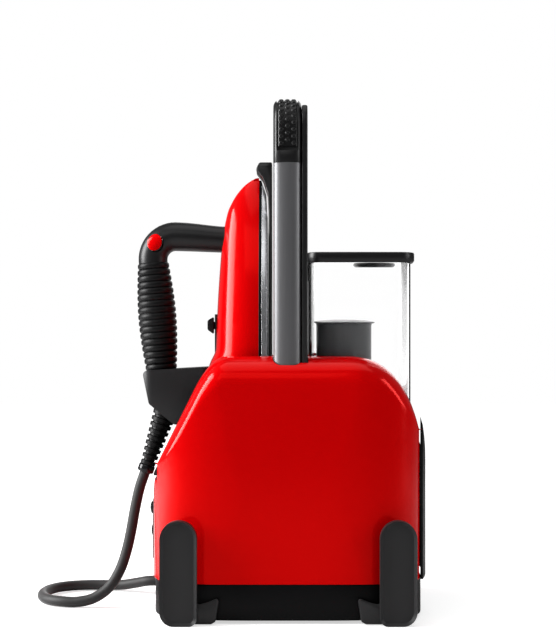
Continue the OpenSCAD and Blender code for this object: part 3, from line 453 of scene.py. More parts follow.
# High-gloss ABS, straight from a polished mould: the eye sees clear reflections with a slight
# ripple, about 5 mm apart, over a deep red that also tints them, and scuffs where light rakes.
red_abs, shader = new_material("gloss_abs_red")
place = add_node(red_abs, "ShaderNodeTexCoord")
mottle = add_node(red_abs, "ShaderNodeTexNoise", {"Scale": 9.0, "Detail": 2.0},
                  {"Vector": (place, "Object")})
tint = add_node(red_abs, "ShaderNodeMix", {"data_type": "RGBA", 6: linear("BC0103"), 7: linear("C80205")},
                {0: (mottle, "Fac")})
plug_in(red_abs, tint, 2, shader, "Base Color")
scuff = add_node(red_abs, "ShaderNodeTexNoise", {"Scale": 60.0, "Detail": 6.0, "Roughness": 0.7},
                 {"Vector": (place, "Object")})
polish = add_node(red_abs, "ShaderNodeMapRange", {"From Min": 0.35, "From Max": 0.75, "To Min": 0.1,
                                                  "To Max": 0.2}, {"Value": (scuff, "Fac")})
plug_in(red_abs, polish, "Result", shader, "Roughness")
ripple = add_node(red_abs, "ShaderNodeTexNoise", {"Scale": 200.0, "Detail": 1.0},
                  {"Vector": (place, "Object")})
peel = add_node(red_abs, "ShaderNodeBump", {"Strength": 0.05, "Distance": 0.0004},
                {"Height": (ripple, "Fac")})
plug_in(red_abs, peel, "Normal", shader, "Normal")
shader.inputs["IOR"].default_value = 1.53
shader.inputs["Specular IOR Level"].default_value = 0.9
shader.inputs["Specular Tint"].default_value = linear("FF2A20")

leg_lo, leg_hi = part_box("handle_legs")
trim_lo, trim_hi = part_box("handle_trims")
leg_d = leg_hi.x - leg_lo.x
leg_t = 19 * mm
leg_y1 = leg_hi.y
leg_y = leg_y1 - leg_t / 2
leg_r = 8 * mm
slide_gap = 0.8 * mm

shell_right = draped("side_shell_right_moulded", 84, 64, shell_point)
turn_outwards(shell_right, (x_mid, 0, 0.1))
thicken(shell_right, wall)
apply_modifiers(shell_right)
hole = round_rect(leg_lo.x - slide_gap, leg_hi.x + slide_gap, -leg_y1 - slide_gap,
                  -leg_y1 + leg_t + slide_gap, leg_r + slide_gap)
cut_with(shell_right, loft("leg_hole", [at_height(hole, z) for z in (0.2, 0.3)]))
hole = round_rect(leg_hi.x - 4 * mm, trim_hi.x + slide_gap, -leg_y - 7.8 * mm, -leg_y + 7.8 * mm, 0.5 * mm)
cut_with(shell_right, loft("trim_hole", [at_height(hole, z) for z in (0.2, 0.3)]))
shell_left = mirrored(shell_right, "side_shell_left_moulded", y=0)
for shell, node in ((shell_right, "side_shell_right"), (shell_left, "side_shell_left")):
    round_edges(shell, 0.5 * mm, 60)
    finish_piece(shell, red_abs, "housing", node, smooth=50)

# ---- Front panel ----
# The red panel between the side shells, from the tray up to the foot of the slope. It is the same
# ABS, clipped in from the front, and carries the control strip.
panel_lo, panel_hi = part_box("front_panel")


def panel_point(u, v):
    y = panel_lo.y + (panel_hi.y - panel_lo.y) * u
    z = panel_lo.z + (panel_hi.z - panel_lo.z) * v
    plan = x_mid - half_l * (1 - (abs(y) / half_w) ** 4) ** 0.25
    slope = slope_top + (z - shell_top) / 2
    return (-soft_min(-plan, -slope, 10 * mm), y, z)


front = draped("front_panel_moulded", 40, 36, panel_point)
turn_outwards(front, (x_mid, 0, 0.09))
thicken(front, wall)
round_edges(front, 0.5 * mm, 60)
finish_piece(front, red_abs, "housing", "front_panel", smooth=50)

# ---- Base tray ----
# The black polypropylene tray that everything is screwed to. Its outside is spark-textured in the
# mould, so it is matt, and its edges are rounded where it meets the shells.


def merged_copy(node, name):
    """A copy of a CAD node as a start, with its loose triangles merged and flat faces joined."""
    lay_down()
    piece = bpy.data.objects.new(name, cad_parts[node].data.copy())
    piece.data.name = name
    bpy.context.collection.objects.link(piece)
    take_up(piece)
    bpy.ops.object.mode_set(mode="EDIT")
    bpy.ops.mesh.select_all(action="SELECT")
    bpy.ops.mesh.remove_doubles(threshold=0.00001)
    bpy.ops.mesh.dissolve_limited(angle_limit=math.radians(1))
    bpy.ops.object.mode_set(mode="OBJECT")
    return piece


def grained(name, colour, roughness, grain, depth, worn="000000", gleam=0.28):
    """Plastic or rubber with a moulded grain, sized in metres, and a faint worn tint."""
    material, shader = new_material(name)
    place = add_node(material, "ShaderNodeTexCoord")
    cloud = add_node(material, "ShaderNodeTexNoise", {"Scale": 22.0, "Detail": 5.0},
                     {"Vector": (place, "Object")})
    tint = add_node(material, "ShaderNodeMix", {"data_type": "RGBA", 6: linear(colour), 7: linear(worn)},
                    {0: (cloud, "Fac")})
    plug_in(material, tint, 2, shader, "Base Color")
    pits = add_node(material, "ShaderNodeTexVoronoi", {"Scale": 1 / grain, "feature": "SMOOTH_F1"},
                    {"Vector": (place, "Object")})
    relief = add_node(material, "ShaderNodeBump", {"Strength": depth, "Distance": grain / 3},
                      {"Height": (pits, "Distance")})
    plug_in(material, relief, "Normal", shader, "Normal")
    gloss = add_node(material, "ShaderNodeMapRange", {"To Min": roughness - 0.06, "To Max": roughness + 0.08},
                     {"Value": (cloud, "Fac")})
    plug_in(material, gloss, "Result", shader, "Roughness")
    shader.inputs["Specular IOR Level"].default_value = gleam
    return material


# Polypropylene with a spark-eroded grain of about 0.5 mm: the eye sees soft grey where light
# rakes it and near black elsewhere.
black_pp = grained("textured_polypropylene_black", "040405", 0.45, 0.6 * mm, 0.2, "080809", 0.1)

tray = merged_copy("base_tray", "base_tray_moulded")
round_edges(tray, 1.2 * mm, 50)
finish_piece(tray, black_pp, "housing", "base_tray")

# ---- Corner bumpers ----
# Four upright paddles in soft-touch rubber over plastic, which stand off the shells so that the
# cord can be wound behind them. A web at the foot of each joins it to the tray.
soft_rubber = grained("soft_touch_rubber_black", "1C1C1D", 0.5, 0.5 * mm, 0.1, "232324")
bump_lo, bump_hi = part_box("bumper_front_right")
bumper_t = 11 * mm
bumper_w = 37 * mm


def paddle_outline(inset, steps=10):
    """Outline in x and z: half round at the top, with rounded lower corners."""
    x0, x1 = bump_lo.x + inset, bump_lo.x + bumper_w - inset
    z0, z1 = bump_lo.z + inset, bump_hi.z - inset
    r_top = (x1 - x0) / 2 - 0.02 * mm
    outline = []
    for cx, cz, r, start in ((x1 - r_top, z1 - r_top, r_top, 0), (x0 + r_top, z1 - r_top, r_top, 1),
                             (x0 + 14 * mm - inset, z0 + 14 * mm - inset, 14 * mm - inset, 2),
                             (x1 - 8 * mm + inset, z0 + 8 * mm - inset, 8 * mm - inset, 3)):
        for j in range(steps + 1):
            a = math.pi / 2 * (start + j / steps)
            outline.append((cx + r * math.cos(a), cz + r * math.sin(a)))
    return outline


paddle_rings = []
edge_r = 3.2 * mm
for side in (1, -1):
    for j in range(6):
        a = math.pi / 2 * (j / 5 if side > 0 else 1 - j / 5)
        depth = edge_r * (1 - math.sin(a))
        y = bump_lo.y + depth if side > 0 else bump_lo.y + bumper_t - depth
        paddle_rings.append([Vector((x, y, z)) for x, z in paddle_outline(edge_r * (1 - math.cos(math.pi / 2 - a)))])
paddle = loft("bumper_front_right_moulded", paddle_rings)

web = [(8, 0.4), (51, 0.4), (55.5, 3), (58.5, 24), (57, 27), (53, 25), (46, 22.5), (40, 21), (34, 22),
       (30, 25), (20, 26), (8, 26)]
web_rings = []
for y, shrink in ((bump_lo.y + bumper_t - 2 * mm, 0), (bump_lo.y + 19 * mm, 2.2), (bump_lo.y + 24 * mm, 1.6),
                  (bump_lo.y + 35 * mm, 0.6)):
    web_rings.append([Vector((bump_lo.x + x * mm, y, max(z - shrink * (z > 10), 0.4) * mm)) for x, z in web])
foot = loft("bumper_web", web_rings)
round_edges(foot, 1.5 * mm, 35)
apply_modifiers(foot)
take_up(paddle)
foot.select_set(True)
bpy.ops.object.join()
for x, y, name in ((None, 0, "bumper_front_left"), (x_mid, None, "bumper_rear_right"),
                   (x_mid, 0, "bumper_rear_left")):
    finish_piece(mirrored(paddle, name + "_moulded", x=x, y=y), soft_rubber, "housing", name, smooth=40)
finish_piece(paddle, soft_rubber, "housing", "bumper_front_right", smooth=40)

# ---- Dock, tank bay and rear cover ----
# The dark deck between the shells, with the sloping dock for the iron, the bay that the tank
# stands in, the curved rear cover with its vents and mains inlet, and the rest behind the iron.
dark_abs = grained("satin_abs_charcoal", "0F0F10", 0.34, 0.8 * mm, 0.05, "151516")
for node, width in (("top_deck", 0.8), ("tank_bay", 0.8), ("rear_cover", 0.8), ("iron_rest", 1.5),
                    ("mains_inlet", 0.4), ("lid_bracket", 0.3), ("control_bezel", 0.8)):
    part = merged_copy(node, node + "_moulded")
    round_edges(part, width * mm, 40)
    finish_piece(part, black_pp if node in ("tank_bay", "rear_cover") else dark_abs,
                 "tank" if node == "lid_bracket" else "housing", node)

# The heel of the hot iron stands on a ribbed pad of grey silicone, pressed into the dock's floor.
silicone = grained("heat_proof_silicone_grey", "3A3A3C", 0.6, 0.4 * mm, 0.1, "444446")
pad = merged_copy("heel_pad", "heel_pad_moulded")
round_edges(pad, 0.5 * mm, 40)
finish_piece(pad, silicone, "housing", "heel_pad")

# ---- Buttons ----
# Two press buttons in glossy black ABS, power and mode, set in the control strip and held by
# clips behind it.
gloss_black = grained("gloss_abs_black", "0E0E10", 0.2, 3.0 * mm, 0.03, "141416")
for node, body in (("power_button", "power_button"), ("mode_button", "mode_button")):
    cap = merged_copy(node, node + "_cap")
    round_edges(cap, 0.5 * mm, 35)
    finish_piece(cap, gloss_black, body, node)

# ---- Carry handle ----
# Two extruded aluminium legs, drawn, brushed along their length and anodised dark grey, pushed
# onto a moulded bar. A studded rubber inlay is pressed into a groove along the bar's outside.
anodised, shader = new_material("brushed_anodised_aluminium_graphite")
place = add_node(anodised, "ShaderNodeTexCoord")
along = add_node(anodised, "ShaderNodeMapping", {"Scale": (1800.0, 1800.0, 14.0)},
                 {"Vector": (place, "Object")})
brush = add_node(anodised, "ShaderNodeTexNoise", {"Scale": 1.0, "Detail": 4.0}, {"Vector": (along, "Vector")})
# Brushed along its length before it was dyed: fine lines 0.5 mm apart that stretch the highlight.
tone = add_node(anodised, "ShaderNodeMix", {"data_type": "RGBA", 6: linear("5C5C5E"), 7: linear("6C6C6E")},
                {0: (brush, "Fac")})
plug_in(anodised, tone, 2, shader, "Base Color")
gloss = add_node(anodised, "ShaderNodeMapRange", {"To Min": 0.36, "To Max": 0.5}, {"Value": (brush, "Fac")})
plug_in(anodised, gloss, "Result", shader, "Roughness")
lines = add_node(anodised, "ShaderNodeBump", {"Strength": 0.12, "Distance": 0.0001},
                 {"Height": (brush, "Fac")})
plug_in(anodised, lines, "Normal", shader, "Normal")
shader.inputs["Metallic"].default_value = 0.6



def oval(cx, cy, a, b, power=2.25, steps=48):
    """A full oval between an ellipse and a rectangle, seen from above."""
    turns = [2 * math.pi * k / steps for k in range(steps)]
    return [(cx + a * math.copysign(abs(math.cos(t)) ** (2 / power), math.cos(t)),
             cy + b * math.copysign(abs(math.sin(t)) ** (2 / power), math.sin(t))) for t in turns]


leg_x = (leg_lo.x + leg_hi.x) / 2
leg_rings = []
for z, inset in ((leg_lo.z, 0.5), (leg_lo.z + 0.5 * mm, 0), (leg_hi.z - 0.4 * mm, 0), (leg_hi.z, 0.4)):
    leg_rings.append(at_height(oval(leg_x, -leg_y, leg_d / 2 - inset * mm, leg_t / 2 - inset * mm), z))
leg = loft("handle_leg_right", leg_rings)
leg_left = mirrored(leg, "handle_leg_left", y=0)
finish_piece(leg, anodised, "handle", "handle_legs", smooth=40)
finish_piece(leg_left, anodised, "handle", "handle_legs", smooth=40)

bar_lo, bar_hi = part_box("handle_bar")
bend_r = 18 * mm
bar_z = bar_hi.z - leg_t / 2
groove_w, groove_d = 11.2 * mm, 3.0 * mm
collar_z = leg_hi.z + 12 * mm


def arch(steps):
    """Middle line of the handle over its top: places, and the direction outwards at each."""
    line = [((-leg_y, z), (-1, 0)) for z in (leg_hi.z, collar_z - 0.2 * mm, collar_z, collar_z + 4 * mm)]
    for s in (-1, 1):
        for j in range(steps + 1):
            a = math.pi / 2 * (j / steps if s < 0 else 1 - j / steps)
            out = (s * math.cos(a), math.sin(a))
            line.append(((s * (leg_y - bend_r) + bend_r * out[0], bar_z - bend_r + bend_r * out[1]), out))
        if s < 0:
            line += [((y * mm, bar_z), (0, 1)) for y in (-28, -14, 0, 14, 28)]
    return line + [((leg_y, z), (1, 0)) for z in (collar_z + 4 * mm, collar_z, collar_z - 0.2 * mm, leg_hi.z)]


def bar_section(groove):
    """Section across the bar: x, and n outwards, with or without the groove in its outer face."""
    ring = round_rect(bar_lo.x, bar_hi.x, -leg_t / 2, leg_t / 2, leg_r, 6)
    mid = (bar_lo.x + bar_hi.x) / 2
    flat = leg_d / 2 - leg_r
    lip = leg_t / 2 - leg_r + math.sqrt(leg_r ** 2 - (groove_w - flat) ** 2)
    half, floor_n = (groove_w, leg_t / 2 - groove_d) if groove else (flat, leg_t / 2)
    kept = [(x, n) for x, n in ring if n < 0 or abs(x - mid) > groove_w + 0.2 * mm]
    right = [point for point in kept if point[1] > 0 and point[0] > mid]
    top = [(mid + groove_w, lip), (mid + half, floor_n), (mid - half, floor_n), (mid - groove_w, lip)]
    return right + top + kept[len(right):]


handle_line = arch(14)
bar_rings = []
for (y, z), (ny, nz) in handle_line:
    grooved = z > collar_z - 0.1 * mm
    bar_rings.append([Vector((x, y + ny * n, z + nz * n)) for x, n in bar_section(grooved)])
bar = loft("handle_bar_moulded", bar_rings)
round_edges(bar, 0.3 * mm, 50)
finish_piece(bar, dark_abs, "handle", "handle_bar", smooth=40)

# Black nitrile rubber: dull, with raised studs 7 mm apart in three staggered rows.
stud_rubber = grained("nitrile_rubber_black", "0A0A0B", 0.32, 0.6 * mm, 0.05, "101011")
inner = [((y, z), n) for (y, z), n in handle_line if z > collar_z + 0.1 * mm]
inlay_rings = []
mid_x = (bar_lo.x + bar_hi.x) / 2
for (y, z), (ny, nz) in inner:
    section = [(-9.6, 6.6), (9.6, 6.6), (9.6, 7.4), (8.8, 8.1), (-8.8, 8.1), (-9.6, 7.4)]
    inlay_rings.append([Vector((mid_x + a * mm, y + ny * n * mm, z + nz * n * mm)) for a, n in section])
inlay = loft("handle_inlay_studded", inlay_rings)

lay_down()
bpy.ops.mesh.primitive_cone_add(vertices=10, radius1=3.0 * mm, radius2=1.7 * mm, depth=1.7 * mm)
stud = bpy.context.object
round_edges(stud, 0.5 * mm, 30, 2)
apply_modifiers(stud)
places, walked, spot = [], 0.0, 3.2 * mm
outer = [(Vector((0, y + ny * 8.6 * mm, z + nz * 8.6 * mm)), Vector((0, ny, nz))) for (y, z), (ny, nz) in inner]
for (a, na), (b, nb) in zip(outer, outer[1:]):
    step = (b - a).length
    while spot <= walked + step:
        t = (spot - walked) / step
        places.append((a.lerp(b, t), na.lerp(nb, t).normalized()))
        spot += 3.5 * mm
    walked += step
studs = [inlay]
for row, (spot, out) in enumerate(places):
    for dx in ((0,) if row % 2 else (-6.4, 6.4)):
        copy = stud.copy()
        copy.data = stud.data.copy()
        across = Vector((1, 0, 0))
        turn = Matrix((across, out.cross(across), out)).transposed().to_4x4()
        copy.matrix_world = Matrix.Translation(spot + Vector((mid_x + dx * mm, 0, 0))) @ turn
        bpy.context.collection.objects.link(copy)
        studs.append(copy)
bpy.data.objects.remove(stud)
lay_down()
for piece in studs:
    piece.select_set(True)
bpy.context.view_layer.objects.active = inlay
bpy.ops.object.join()
finish_piece(inlay, stud_rubber, "handle", "handle_inlay", smooth=30)

# The trim strips cover the screws along the rear of the legs.
for node, material in (("handle_trims", dark_abs), ("handle_shoes", silicone)):
    part = merged_copy(node, node + "_moulded")
    round_edges(part, 1.6 * mm if node == "handle_trims" else 0.3 * mm, 40, 3)
    finish_piece(part, material, "handle", node)

# ---- Iron ----
# An iron stood on its heel: a die-cast sole with a polished face, a black heat skirt of glass-
# filled plastic, and a red ABS shell screwed down over the steam chamber.
polished, shader = new_material("polished_cast_aluminium")
place = add_node(polished, "ShaderNodeTexCoord")
along = add_node(polished, "ShaderNodeMapping", {"Scale": (400.0, 2400.0, 30.0)}, {"Vector": (place, "Object")})
grit = add_node(polished, "ShaderNodeTexNoise", {"Scale": 1.0, "Detail": 3.0}, {"Vector": (along, "Vector")})
# Ground with fine belts towards the tip, so its highlights are drawn out along the sole.
tone = add_node(polished, "ShaderNodeMix", {"data_type": "RGBA", 6: linear("B9BABD"), 7: linear("D2D3D6")},
                {0: (grit, "Fac")})
plug_in(polished, tone, 2, shader, "Base Color")
gloss = add_node(polished, "ShaderNodeMapRange", {"To Min": 0.24, "To Max": 0.29}, {"Value": (grit, "Fac")})
plug_in(polished, gloss, "Result", shader, "Roughness")
shader.inputs["Metallic"].default_value = 1.0
sole = merged_copy("soleplate", "soleplate_polished")
round_edges(sole, 0.8 * mm, 50)
finish_piece(sole, polished, "iron", "soleplate")
skirt = merged_copy("heat_skirt", "heat_skirt_moulded")
round_edges(skirt, 0.5 * mm, 50)
finish_piece(skirt, black_pp, "iron", "heat_skirt")

iron_lo, iron_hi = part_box("iron_shell")
cover_x = iron_hi.x
heel_z = iron_lo.z
spine = smooth_route([Vector((h, z, 0)) * mm for h, z in [
    (0.3, 217.6), (4, 217), (9.5, 214.2), (17, 208.2), (24.6, 199), (30, 189.5), (33.9, 180),
    (37.8, 161.5), (40.2, 142), (42.1, 118.5), (44, 90), (45.4, 60), (46.4, 36), (48, 29), (51.5, 22),
    (54.2, 14), (54.9, 6), (54.6, 1.2), (53, 0)
]], 5)


def iron_point(u, v):
    """Over the shell from side to side, from its tip down to its heel."""
    k = v * 1.06 * (len(spine) - 1)
    closing = max(k / (len(spine) - 1) - 1, 0) / 0.06
    k = min(k, len(spine) - 1.001)
    h, z = spine[int(k)].lerp(spine[int(k) + 1], k % 1).xy
    t = min(z / (iron_hi.z - heel_z + 1.5 * mm), 1)
    r = 18 * mm
    corner = r * (1 - math.sqrt(1 - (1 - z / r) ** 2)) if z < r else 0
    w = (52.6 * mm * (1 - t ** 2.6) ** 0.9 - corner) * (1 - closing)
    a = math.pi * u
    c, s = math.cos(a), math.sin(a)
    x = cover_x - h * (1 - closing * 0.9) * max(s, 0) ** (2 / 2.4)
    return (x, math.copysign(abs(c) ** (2 / 2.4), c) * w, heel_z + z)


iron_shell = draped("iron_shell_moulded", 56, 110, iron_point)
turn_outwards(iron_shell, (cover_x, 0, heel_z + 0.1))
thicken(iron_shell, 2 * mm)
finish_piece(iron_shell, red_abs, "iron", "iron_shell", smooth=60)

# ---- Iron's handle ----
# A cranked arm in satin black plastic that carries a ribbed rubber grip, with a heel cover and a
# slotted strain relief below it. A red steam button passes through its elbow.
arm_lo, arm_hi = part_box("handle_arm")
arm_z = arm_hi.z - 15.5 * mm
elbow_r = 24.5 * mm
elbow_c = Vector((arm_lo.x + 15.5 * mm + elbow_r, 0, arm_z - elbow_r))
lean = math.radians(4.4)
arm_path = [Vector((x * mm, 0, arm_z - sink * mm)) for x, sink in ((-56, 3.4), (-66, 3.0), (-78, 2.2), (-90, 1.2), (-102, 0.4))]
arm_radii = [14.0, 14.1, 14.5, 15.0, 15.4]
for j in range(15):
    a = math.pi / 2 + (math.pi / 2 + lean) * j / 14
    arm_path.append(elbow_c + elbow_r * Vector((math.cos(a), 0, math.sin(a))))
    arm_radii.append(15.5)
down = Vector((math.sin(lean), 0, -math.cos(lean)))
grip_top = arm_path[-1]
arm_path += [grip_top + down * d * mm for d in (2, 3, 60, 112)]
arm_radii += [15.4, 11.5, 11.5, 11.5]
arm = loft("handle_arm_moulded", tube_rings(arm_path, [r * mm for r in arm_radii], 40))


def oval_bar(name, grow, shift, y0, y1):
    """An oval bar across the elbow, between y0 and y1, shifted along the button's travel."""
    lay_down()
    bpy.ops.mesh.primitive_cylinder_add(vertices=48, radius=1, depth=1)
    bar = bpy.context.object
    bar.name = name
    out = Vector((-math.cos(press), 0, math.sin(press)))
    middle = elbow_c + out * (27.8 * mm - shift)
    bar.matrix_world = (Matrix.Translation((middle.x, (y0 + y1) / 2, middle.z))
                        @ Matrix.Rotation(math.radians(18), 4, "Y") @ Matrix.Rotation(math.pi / 2, 4, "X")
                        @ Matrix.Diagonal((7.5 * mm + grow, 9.0 * mm + grow, y1 - y0, 1)))
    return bar


# The button fills an oval hole through the elbow. The hole is longer by its travel, but for a
# web in the middle, which a notch in the button straddles.
press = math.radians(39)
travel = 2.6 * mm
far_y = 30 * mm
cut_with(arm, oval_bar("button_hole", 0.2 * mm, 0, -far_y, far_y))
for side in (-1, 1):
    ends = sorted((side * 1 * mm, side * far_y))
    cut_with(arm, oval_bar("button_travel", 0.2 * mm, travel, *ends))
cap = loft("steam_button_cap", tube_rings(arm_path[4:20], [15.9 * mm] * 16, 40))
cut_with(cap, oval_bar("button_outline", 0, 0, -far_y, far_y), "INTERSECT")
cut_with(cap, oval_bar("button_notch", 20 * mm, 26.5 * mm, -4.5 * mm, 4.5 * mm))
round_edges(cap, 0.5 * mm, 50, 2)
finish_piece(cap, red_abs, "steam_button", "steam_button", smooth=50)
finish_piece(arm, dark_abs, "iron", "handle_arm", smooth=40)

# The grip is overmoulded thermoplastic rubber with 17 rounded ribs, and swells to fill the palm.
grip_rubber = grained("overmoulded_rubber_black", "060607", 0.42, 0.5 * mm, 0.1, "0B0B0C", 0.16)
grip_l, ribs = 118 * mm, 17
grip_path, grip_radii = [grip_top + down * 2 * mm], [15.6]
for i in range(ribs):
    swell = 16.5 + 4 * math.sin(math.pi * (i + 0.5) / ribs)
    for share, depth in ((0.02, 1.5), (0.1, 0.9), (0.25, 0.15), (0.5, 0), (0.75, 0.15), (0.9, 0.9), (0.98, 1.5)):
        grip_path.append(grip_top + down * (2 * mm + (grip_l - 3 * mm) * (i + share) / ribs))
        grip_radii.append(swell - depth)
grip = loft("grip_sleeve_ribbed", tube_rings(grip_path, [r * mm for r in grip_radii], 48))
finish_piece(grip, grip_rubber, "iron", "grip_sleeve", smooth=55)

heel = merged_copy("heel_cover", "heel_cover_moulded")
round_edges(heel, 1.6 * mm, 35, 3)
finish_piece(heel, grained("satin_pa_dark_grey", "1D1D1E", 0.4, 0.8 * mm, 0.06, "232324"), "iron", "heel_cover")

relief_lo, relief_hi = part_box("relief_collar")
cord_start = cord_path[0]
relief_top = Vector((-125 * mm, 0, 206 * mm))
fall = (relief_top - cord_start).normalized()
relief_l = (relief_top - cord_start).length
relief_path, relief_radii = [cord_start + fall * 8.6 * mm], [7.6]
steps = 90
for i in range(steps):
    t = i / (steps - 1)
    d = 8.8 * mm + (relief_l - 8.8 * mm + 6 * mm) * t
    body_r = 8 + 5.2 * t
    wave = (t * 9.2) % 1
    notch = 0.04 < t < 0.9 and wave > 0.62
    relief_path.append(cord_start + fall * d)
    relief_radii.append(body_r - (2.4 if notch else 0))
relief_piece = loft("strain_relief_slotted", tube_rings(relief_path, [r * mm for r in relief_radii], 40))
finish_piece(relief_piece, grip_rubber, "iron", "strain_relief", smooth=50)
collar_path = [cord_start + fall * d * mm for d in (0.1, 0.3, 1.2, 4, 7, 7.9, 8.1)]
collar = loft("relief_collar_moulded", tube_rings(collar_path, [r * mm for r in (7.4, 8.2, 8.75, 8.75, 8.75, 8.3, 7.6)], 40))
finish_piece(collar, gloss_black, "iron", "relief_collar", smooth=50)

for node, body, width in (("selector_track", "iron", 0.3), ("steam_selector", "steam_selector", 1.0)):
    part = merged_copy(node, node + "_moulded")
    round_edges(part, width * mm, 35, 3)
    finish_piece(part, dark_abs, body, node, smooth=45)

# ---- Water tank ----
# A clear tank injection-moulded in SAN with 2.5 mm walls, which lifts out of its bay. A dark lid
# with a round boss hinges on a steel pin at the front, and a filter cup stands inside.
clear_san, shader = new_material("clear_san_plastic")
place = add_node(clear_san, "ShaderNodeTexCoord")
flow = add_node(clear_san, "ShaderNodeTexNoise", {"Scale": 14.0, "Detail": 1.0}, {"Vector": (place, "Object")})
# Clear, a little wavy from the way it flowed in the mould.
waves = add_node(clear_san, "ShaderNodeBump", {"Strength": 0.04, "Distance": 0.001}, {"Height": (flow, "Fac")})
plug_in(clear_san, waves, "Normal", shader, "Normal")
haze = add_node(clear_san, "ShaderNodeMapRange", {"To Min": 0.0, "To Max": 0.05}, {"Value": (flow, "Fac")})
plug_in(clear_san, haze, "Result", shader, "Roughness")
shader.inputs["Base Color"].default_value = linear("FFFFFF")
shader.inputs["Transmission Weight"].default_value = 1.0
shader.inputs["IOR"].default_value = 1.16

tank_lo, tank_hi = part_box("water_tank")
tank_wall, tank_r = 2.5 * mm, 14 * mm
tank_z = tank_lo.z + 12 * mm
neck_x = (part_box("filter_cup")[0].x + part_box("filter_cup")[1].x) / 2


def disc_ring(x, r, z, steps=9):
    """A circle with as many points as a rounded rectangle's ring, in the same order."""
    return at_height(round_rect(x - r, x + r, -r, r, r * 0.999, steps), z)


def tank_ring(inset, z):
    return at_height(round_rect(tank_lo.x + inset, tank_hi.x - inset, tank_lo.y + inset, tank_hi.y - inset,
                                max(tank_r - inset, 1 * mm), 9), z)


tank = loft("water_tank_clear", [
    disc_ring(neck_x, 12.4 * mm, tank_lo.z), disc_ring(neck_x, 13 * mm, tank_lo.z + 0.6 * mm),
    disc_ring(neck_x, 13 * mm, tank_z), tank_ring(3 * mm, tank_z), tank_ring(1 * mm, tank_z + 0.5 * mm),
    tank_ring(0, tank_z + 2.5 * mm), tank_ring(0, tank_hi.z - 3 * mm), tank_ring(0.1 * mm, tank_hi.z - 1 * mm),
    tank_ring(0.7 * mm, tank_hi.z), tank_ring(tank_wall - 0.6 * mm, tank_hi.z),
    tank_ring(tank_wall, tank_hi.z - 1 * mm), tank_ring(tank_wall, tank_z + tank_wall + 2 * mm),
    tank_ring(tank_wall + 2 * mm, tank_z + tank_wall)])
finish_piece(tank, clear_san, "tank", "water_tank", smooth=40)

lid_lo, lid_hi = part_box("tank_lid")
lid_z = lid_hi.z - 10.8 * mm


def lid_ring(inset, z):
    return at_height(round_rect(lid_lo.x + inset, lid_hi.x - inset, lid_lo.y + inset, lid_hi.y - inset,
                                16 * mm - inset, 9), z)


lid = loft("tank_lid_moulded", [
    lid_ring(9 * mm, lid_hi.z - 1.2 * mm), lid_ring(8.2 * mm, lid_hi.z - 1.0 * mm), lid_ring(7.6 * mm, lid_hi.z),
    lid_ring(1.6 * mm, lid_hi.z), lid_ring(0.5 * mm, lid_hi.z - 0.5 * mm),
    lid_ring(0, lid_hi.z - 1.6 * mm), lid_ring(0, lid_z + 2.2 * mm), lid_ring(1.6 * mm, lid_z),
    lid_ring(6 * mm, lid_z), lid_ring(6.6 * mm, lid_z + 8 * mm)])
boss_x = tank_hi.x - 35 * mm
boss = loft("lid_boss", [disc_ring(boss_x, r * mm, lid_z + z * mm, 9) for r, z in (
    (17, -4.6), (20, -4.8), (21.2, -4.2), (27, 3), (28.4, 7), (28.4, 9))])
take_up(lid)
boss.select_set(True)
bpy.ops.object.join()
finish_piece(lid, dark_abs, "lid", "tank_lid", smooth=40)

# The pin is bright drawn steel; its CAD form is right.
steel, shader = new_material("drawn_steel_bright")
place = add_node(steel, "ShaderNodeTexCoord")
scale = add_node(steel, "ShaderNodeMapping", {"Scale": (900.0, 60.0, 900.0)}, {"Vector": (place, "Object")})
draw = add_node(steel, "ShaderNodeTexNoise", {"Scale": 1.0, "Detail": 3.0}, {"Vector": (scale, "Vector")})
tone = add_node(steel, "ShaderNodeMix", {"data_type": "RGBA", 6: linear("9A9B9E"), 7: linear("B8B9BC")},
                {0: (draw, "Fac")})
plug_in(steel, tone, 2, shader, "Base Color")
gloss = add_node(steel, "ShaderNodeMapRange", {"To Min": 0.22, "To Max": 0.38}, {"Value": (draw, "Fac")})
plug_in(steel, gloss, "Result", shader, "Roughness")
shader.inputs["Metallic"].default_value = 1.0

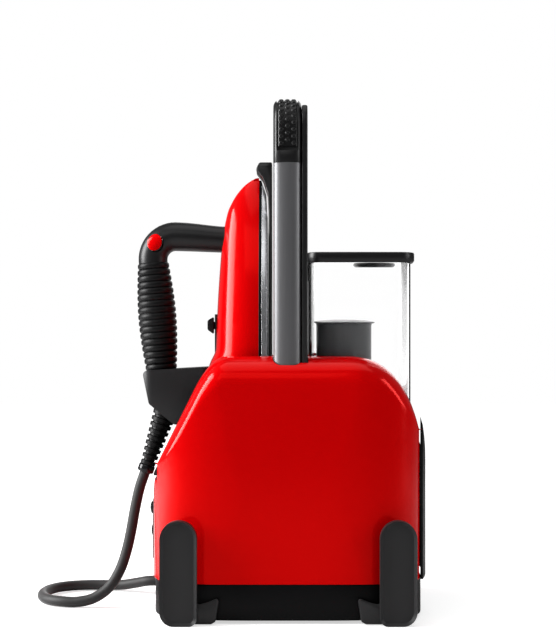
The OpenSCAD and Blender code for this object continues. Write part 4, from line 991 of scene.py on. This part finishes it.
cup_lo, cup_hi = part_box("filter_cup")
brim_r = (cup_hi.x - cup_lo.x) / 2
cup = loft("filter_cup_moulded", [disc_ring(neck_x, r * mm, z, 12) for r, z in (
    (10, cup_lo.z), (12, cup_lo.z + 0.5 * mm), (12, cup_hi.z - 92 * mm), (28.5, cup_hi.z - 91.5 * mm),
    (30, cup_hi.z - 90 * mm), (30, cup_hi.z - 6 * mm), (30.6, cup_hi.z - 4 * mm),
    (brim_r / mm, cup_hi.z - 3.4 * mm), (brim_r / mm, cup_hi.z - 2.4 * mm), (brim_r / mm - 1.6, cup_hi.z - 1.9 * mm),
    (24, cup_hi.z - 0.8 * mm), (12, cup_hi.z), (6, cup_hi.z))])
finish_piece(cup, grained("satin_pp_graphite", "232426", 0.34, 0.9 * mm, 0.05, "2B2C2E"), "filter", "filter_cup",
             smooth=40)

# ---- Pieces inside ----
# The boiler, its fittings, the pump, the pipes and the boards sit inside the housing, and keep
# their CAD forms. They show only where a cover comes off, and each has its own finish.
glass_wool = grained("glass_wool_cream", "C9C2A6", 0.9, 1.5 * mm, 0.8, "B5AE92")
brass = grained("turned_brass", "B08A3E", 0.3, 1.2 * mm, 0.05, "BE9A50")
circuit = grained("fibreglass_board_green", "0F4A28", 0.4, 0.8 * mm, 0.2, "16593A")
hose_silicone = grained("silicone_hose_milky", "D6D6D0", 0.5, 0.7 * mm, 0.05, "C8C8C0")
acetal = grained("acetal_white", "E2E2DE", 0.35, 0.9 * mm, 0.05, "D8D8D2")
valve_orange = grained("acetal_orange", "C8621A", 0.35, 0.9 * mm, 0.05, "B85A18")
inside = {
    steel: ("boiler", "boiler_cradle", "case_screws", "hinge_pin", "button_spring", "steam_valve"),
    polished: ("steam_chamber", "handle_guides", "pressure_switch"), glass_wool: ("boiler_jacket",),
    brass: ("boiler_heater", "safety_valve", "steam_pipe", "steam_tube"),
    circuit: ("control_board", "switch_board"), hose_silicone: ("water_hose",), acetal: ("tank_socket", "pump"),
    black_pp: ("drain_plug", "cord_gland"), valve_orange: ("outlet_valve",)
}
for material, nodes in inside.items():
    for node in nodes:
        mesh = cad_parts[node].data
        mesh.materials.clear()
        mesh.materials.append(material)
